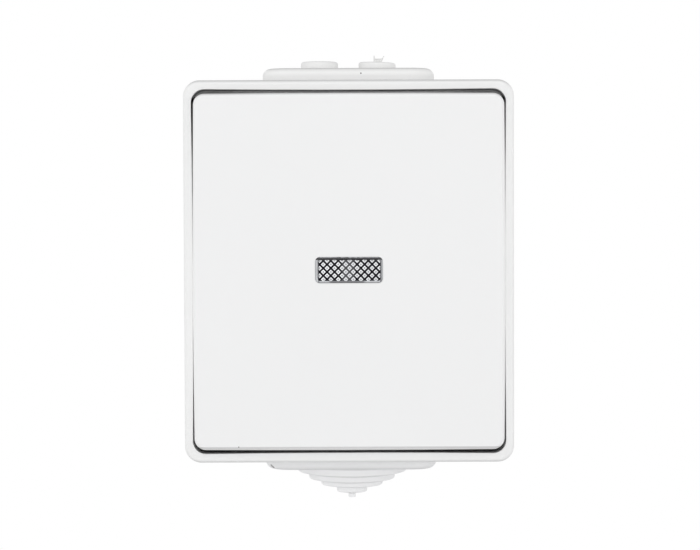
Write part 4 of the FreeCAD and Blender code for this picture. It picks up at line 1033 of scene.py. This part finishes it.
class SWITCH_OT_add_springs(Operator):
    """Add the return springs as coils, each wound to fill its spring's box"""

    bl_idname = "switch.add_springs"
    bl_label = "Add Springs"

    def coil(self, box, turns, wire, steps=36, sides=10):
        """A coil wound along Y that fills a box."""
        low, high = box
        centre = (low + high) / 2
        radius = (high.x - low.x) / 2 - wire
        length = high.y - low.y - 2 * wire
        builder = bmesh.new()
        rings = []
        for number in range(turns * steps + 1):
            angle = 2 * math.pi * number / steps
            away = Vector((math.cos(angle), 0, math.sin(angle)))
            middle = centre + away * radius
            middle.y = high.y - wire - length * number / (turns * steps)
            ring = []
            for side in range(sides):
                turn = 2 * math.pi * side / sides
                offset = away * math.cos(turn) + Vector((0, math.sin(turn), 0))
                ring.append(builder.verts.new(middle + offset * wire))
            rings.append(ring)
        join_rings(builder, rings)
        return builder

    def execute(self, context):
        settings = context.scene.switch_mechanism
        finish = metal("spring_wire", (0.48, 0.48, 0.5), 0.35, (1, 1, 1))
        for side in ("upper", "lower"):
            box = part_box(f"{side}_spring")
            builder = self.coil(box, settings.spring_turns, settings.spring_wire)
            piece = finished_mesh(context, f"{side}_spring_coil", builder, finish)
            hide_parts(f"{side}_spring")
            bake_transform(piece)
        return {"FINISHED"}


def strand(builder, start, lean, end, radius, tip_share, sides=10, steps=14):
    """A torn strand from its root to its tip, round, and thinner towards the tip."""
    path = interpolate_bezier(start, start + lean[0], end + lean[1], end, steps)
    rings = []
    for number, point in enumerate(path):
        before = path[max(number - 1, 0)]
        after = path[min(number + 1, steps - 1)]
        along = (after - before).normalized()
        across = along.cross(Vector((0, 1, 0))).normalized()
        deep = along.cross(across)
        share = 1 - (1 - tip_share) * (number / (steps - 1)) ** 0.8
        ring = []
        for side in range(sides):
            angle = 2 * math.pi * side / sides
            offset = across * math.cos(angle) + deep * math.sin(angle)
            ring.append(builder.verts.new(point + offset * radius * share))
        rings.append(ring)
    join_rings(builder, rings)


def web(builder, start, end, centre, height, thickness, steps=24):
    """A low ragged wall of rubber along a knockout's rim."""
    sections = []
    for number in range(steps):
        share = number / (steps - 1)
        point = start.lerp(end, share)
        outward = (point - centre).normalized() * thickness / 2
        fade = math.sin(math.pi * (0.12 + 0.76 * share)) ** 0.5
        ragged = 0.72 + 0.28 * math.sin(9.0 * share + 0.6) * math.cos(23.0 * share)
        crest = point + Vector((0, 0, height * fade * ragged))
        sections.append(
            [
                builder.verts.new(point - outward),
                builder.verts.new(point + outward),
                builder.verts.new(crest + outward * 0.45),
                builder.verts.new(crest - outward * 0.45),
            ]
        )
    join_rings(builder, sections)


class SWITCH_OT_add_flash(Operator):
    """Add the torn moulding flash that stands on the right knockout"""

    bl_idname = "switch.add_flash"
    bl_label = "Add Moulding Flash"

    def execute(self, context):
        settings = context.scene.switch_flash
        top = TOP_GROMMET_BOX[1].z
        entry_depth = (TOP_GROMMET_BOX[0].y + TOP_GROMMET_BOX[1].y) / 2
        knockout_x = 6.15 * MM
        knockout = Vector((knockout_x, entry_depth, top))
        root_y = entry_depth - 3.0 * MM
        sunk = Vector((0, 0, -0.3 * MM))
        spike_root = Vector((knockout_x - 0.63 * MM, root_y, top)) + sunk
        curl_root = Vector((knockout_x + 0.8 * MM, root_y, top)) + sunk
        bar_lift = Vector((0, 0, settings.web_height - sunk.z))
        radius = settings.strand_radius
        builder = bmesh.new()
        strand(
            builder,
            spike_root,
            (Vector((0.05 * MM, 0, 0.5 * MM)), Vector((0.03 * MM, 0, -0.4 * MM))),
            spike_root + Vector((-0.04 * MM, 0.05 * MM, settings.spike_height - sunk.z)),
            radius,
            0.6,
        )
        strand(
            builder,
            curl_root,
            (Vector((0.05 * MM, 0, 0.5 * MM)), Vector((-0.3 * MM, 0, -0.5 * MM))),
            curl_root + Vector((0.65 * MM, 0.1 * MM, settings.curl_height - sunk.z)),
            radius * 0.9,
            0.65,
        )
        strand(
            builder,
            spike_root + bar_lift,
            (Vector((0.4 * MM, 0, -0.08 * MM)), Vector((-0.5 * MM, 0, 0.05 * MM))),
            curl_root + bar_lift + Vector((0.12 * MM, 0, 0)),
            radius * 0.8,
            0.9,
        )
        web(builder, spike_root, curl_root, knockout, settings.web_height - sunk.z, radius)
        rubber = context.scene.switch_rubber
        finish = entry_rubber("flash_rubber", settings.colour, rubber)
        flash = finished_mesh(context, "knockout_flash", builder, finish)
        rounded = flash.modifiers.new("rounded", "SUBSURF")
        rounded.levels = 1
        rounded.render_levels = 1
        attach(flash, "housing")
        return {"FINISHED"}


def seen_as_white(tree, lit, share=1.0):
    """Mix a light or surface with plain white where the camera or a reflection sees it."""
    path = tree.nodes.new("ShaderNodeLightPath")
    kinds = ("Camera", "Glossy", "Transmission")
    camera, glossy, clear = [Field(tree, path.outputs[f"Is {kind} Ray"]) for kind in kinds]
    seen = camera.largest(glossy).largest(clear) * share
    white = tree.nodes.new("ShaderNodeEmission")
    white.inputs["Color"].default_value = (1, 1, 1, 1)
    mix = tree.nodes.new("ShaderNodeMixShader")
    tree.links.new(seen.socket, mix.inputs["Fac"])
    tree.links.new(lit, mix.inputs[1])
    tree.links.new(white.outputs["Emission"], mix.inputs[2])
    return mix.outputs["Shader"]


class SWITCH_OT_set_stage(Operator):
    """Set the pale floor, the even sky, the four soft lights and the camera"""

    bl_idname = "switch.set_stage"
    bl_label = "Set Stage"

    def add_floor(self, context, settings):
        half = settings.floor_size / 2
        level = CAD_BOX[0].z - settings.floor_drop
        mesh = bpy.data.meshes.new("floor")
        corners = [(-half, -half), (half, -half), (half, half), (-half, half)]
        mesh.from_pydata([(x, y, level) for x, y in corners], [], [(0, 1, 2, 3)])
        floor = bpy.data.objects.new("floor", mesh)
        context.scene.collection.objects.link(floor)
        finish = Finish("floor_white", Roughness=0.9)
        mottle = finish.noise(finish.place(), 0.4, detail=2)
        finish.set("Base Color", finish.blend(mottle, (0.9, 0.9, 0.9), (0.92, 0.92, 0.92)))
        flat = finish.stretched(finish.place(), (1, 1, 0))
        away = finish.node("ShaderNodeVectorMath", {"operation": "LENGTH"}, {0: flat}, "Value")
        clear = finish.rise(away, settings.shadow_reach * 0.3, settings.shadow_reach)
        share = 0.6 + 0.4 * clear
        shown = seen_as_white(finish.tree, finish.shader.outputs["BSDF"], share)
        surface = next(n for n in finish.tree.nodes if n.type == "OUTPUT_MATERIAL")
        finish.tree.links.new(shown, surface.inputs["Surface"])
        mesh.materials.append(finish.material)

    def add_light(self, context, settings):
        world = bpy.data.worlds.new("studio")
        context.scene.world = world
        world.use_nodes = True
        tree = world.node_tree
        sky = next(n for n in tree.nodes if n.type == "BACKGROUND")
        sky.inputs["Color"].default_value = (1, 1, 1, 1)
        sky.inputs["Strength"].default_value = settings.sky_strength
        surface = next(n for n in tree.nodes if n.type == "OUTPUT_WORLD")
        tree.links.new(seen_as_white(tree, sky.outputs["Background"]), surface.inputs["Surface"])

        # Name, power, side and place of each light. All of them aim at the switch, and only
        # the key shows in its gloss.
        lamps = (
            ("key", settings.key_power, settings.key_size, (-0.08, -1.35, 0.85)),
            ("fill", settings.fill_power, settings.fill_size, (0, -1.3, -0.03)),
            ("left_side", settings.left_power, settings.side_size, (-1.2, -0.5, 0.15)),
            ("right_side", settings.right_power, settings.side_size, (1.2, -0.5, 0.15)),
        )
        for name, power, size, location in lamps:
            lamp = bpy.data.lights.new(name, "AREA")
            lamp.shape = "SQUARE"
            lamp.size = size
            lamp.energy = power
            light = bpy.data.objects.new(name, lamp)
            light.location = location
            light.visible_glossy = name == "key"
            light.rotation_euler = (-light.location).to_track_quat("-Z", "Y").to_euler()
            context.scene.collection.objects.link(light)

    def add_camera(self, context, settings):
        data = bpy.data.cameras.new("camera")
        data.lens = settings.camera_lens
        data.clip_start = 0.01
        data.clip_end = 20
        data.shift_x = 1.0 / PICTURE_WIDTH
        data.shift_y = -3.3 / PICTURE_WIDTH
        camera = bpy.data.objects.new("camera", data)
        aim = Vector((0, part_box("cover_frame")[0].y, 0))
        tilt = settings.camera_elevation
        back = Vector((0, -math.cos(tilt), math.sin(tilt)))
        camera.location = aim + back * settings.camera_distance
        turn = (-back).to_track_quat("-Z", "Y").to_matrix().to_4x4()
        turn = turn @ Matrix.Rotation(-settings.camera_roll, 4, "Z")
        camera.rotation_euler = turn.to_euler()
        context.scene.collection.objects.link(camera)
        context.scene.camera = camera

    def execute(self, context):
        settings = context.scene.switch_stage
        context.scene.view_settings.view_transform = "Standard"
        self.add_floor(context, settings)
        self.add_light(context, settings)
        self.add_camera(context, settings)
        return {"FINISHED"}


OPERATORS = (
    SWITCH_OT_dress_housing,
    SWITCH_OT_dress_rocker,
    SWITCH_OT_dress_entries,
    SWITCH_OT_dress_seals,
    SWITCH_OT_dress_lens,
    SWITCH_OT_dress_mechanism,
    SWITCH_OT_dress_metal,
    SWITCH_OT_dress_lamp,
    SWITCH_OT_add_springs,
    SWITCH_OT_add_flash,
    SWITCH_OT_set_stage,
)
SETTINGS = {
    "switch_plastic": PlasticSettings,
    "switch_rubber": RubberSettings,
    "switch_flash": FlashSettings,
    "switch_lens": LensSettings,
    "switch_mechanism": MechanismSettings,
    "switch_stage": StageSettings,
}


class SWITCH_PT_finishes(Panel):
    """The steps that dress the switch and set its stage"""

    bl_idname = "SWITCH_PT_finishes"
    bl_label = "Weatherproof Switch"
    bl_space_type = "VIEW_3D"
    bl_region_type = "UI"
    bl_category = "Switch"

    def draw(self, context):
        for operator in OPERATORS:
            self.layout.operator(operator.bl_idname)


def register():
    for settings in SETTINGS.values():
        bpy.utils.register_class(settings)
    for name, settings in SETTINGS.items():
        setattr(bpy.types.Scene, name, PointerProperty(type=settings))
    for operator in OPERATORS:
        bpy.utils.register_class(operator)
    bpy.utils.register_class(SWITCH_PT_finishes)


def unregister():
    bpy.utils.unregister_class(SWITCH_PT_finishes)
    for operator in reversed(OPERATORS):
        bpy.utils.unregister_class(operator)
    for name in SETTINGS:
        delattr(bpy.types.Scene, name)
    for settings in reversed(SETTINGS.values()):
        bpy.utils.unregister_class(settings)


def main():
    register()
    for operator in OPERATORS:
        family, step = operator.bl_idname.split(".")
        getattr(getattr(bpy.ops, family), step)()


if __name__ == "__main__":
    main()
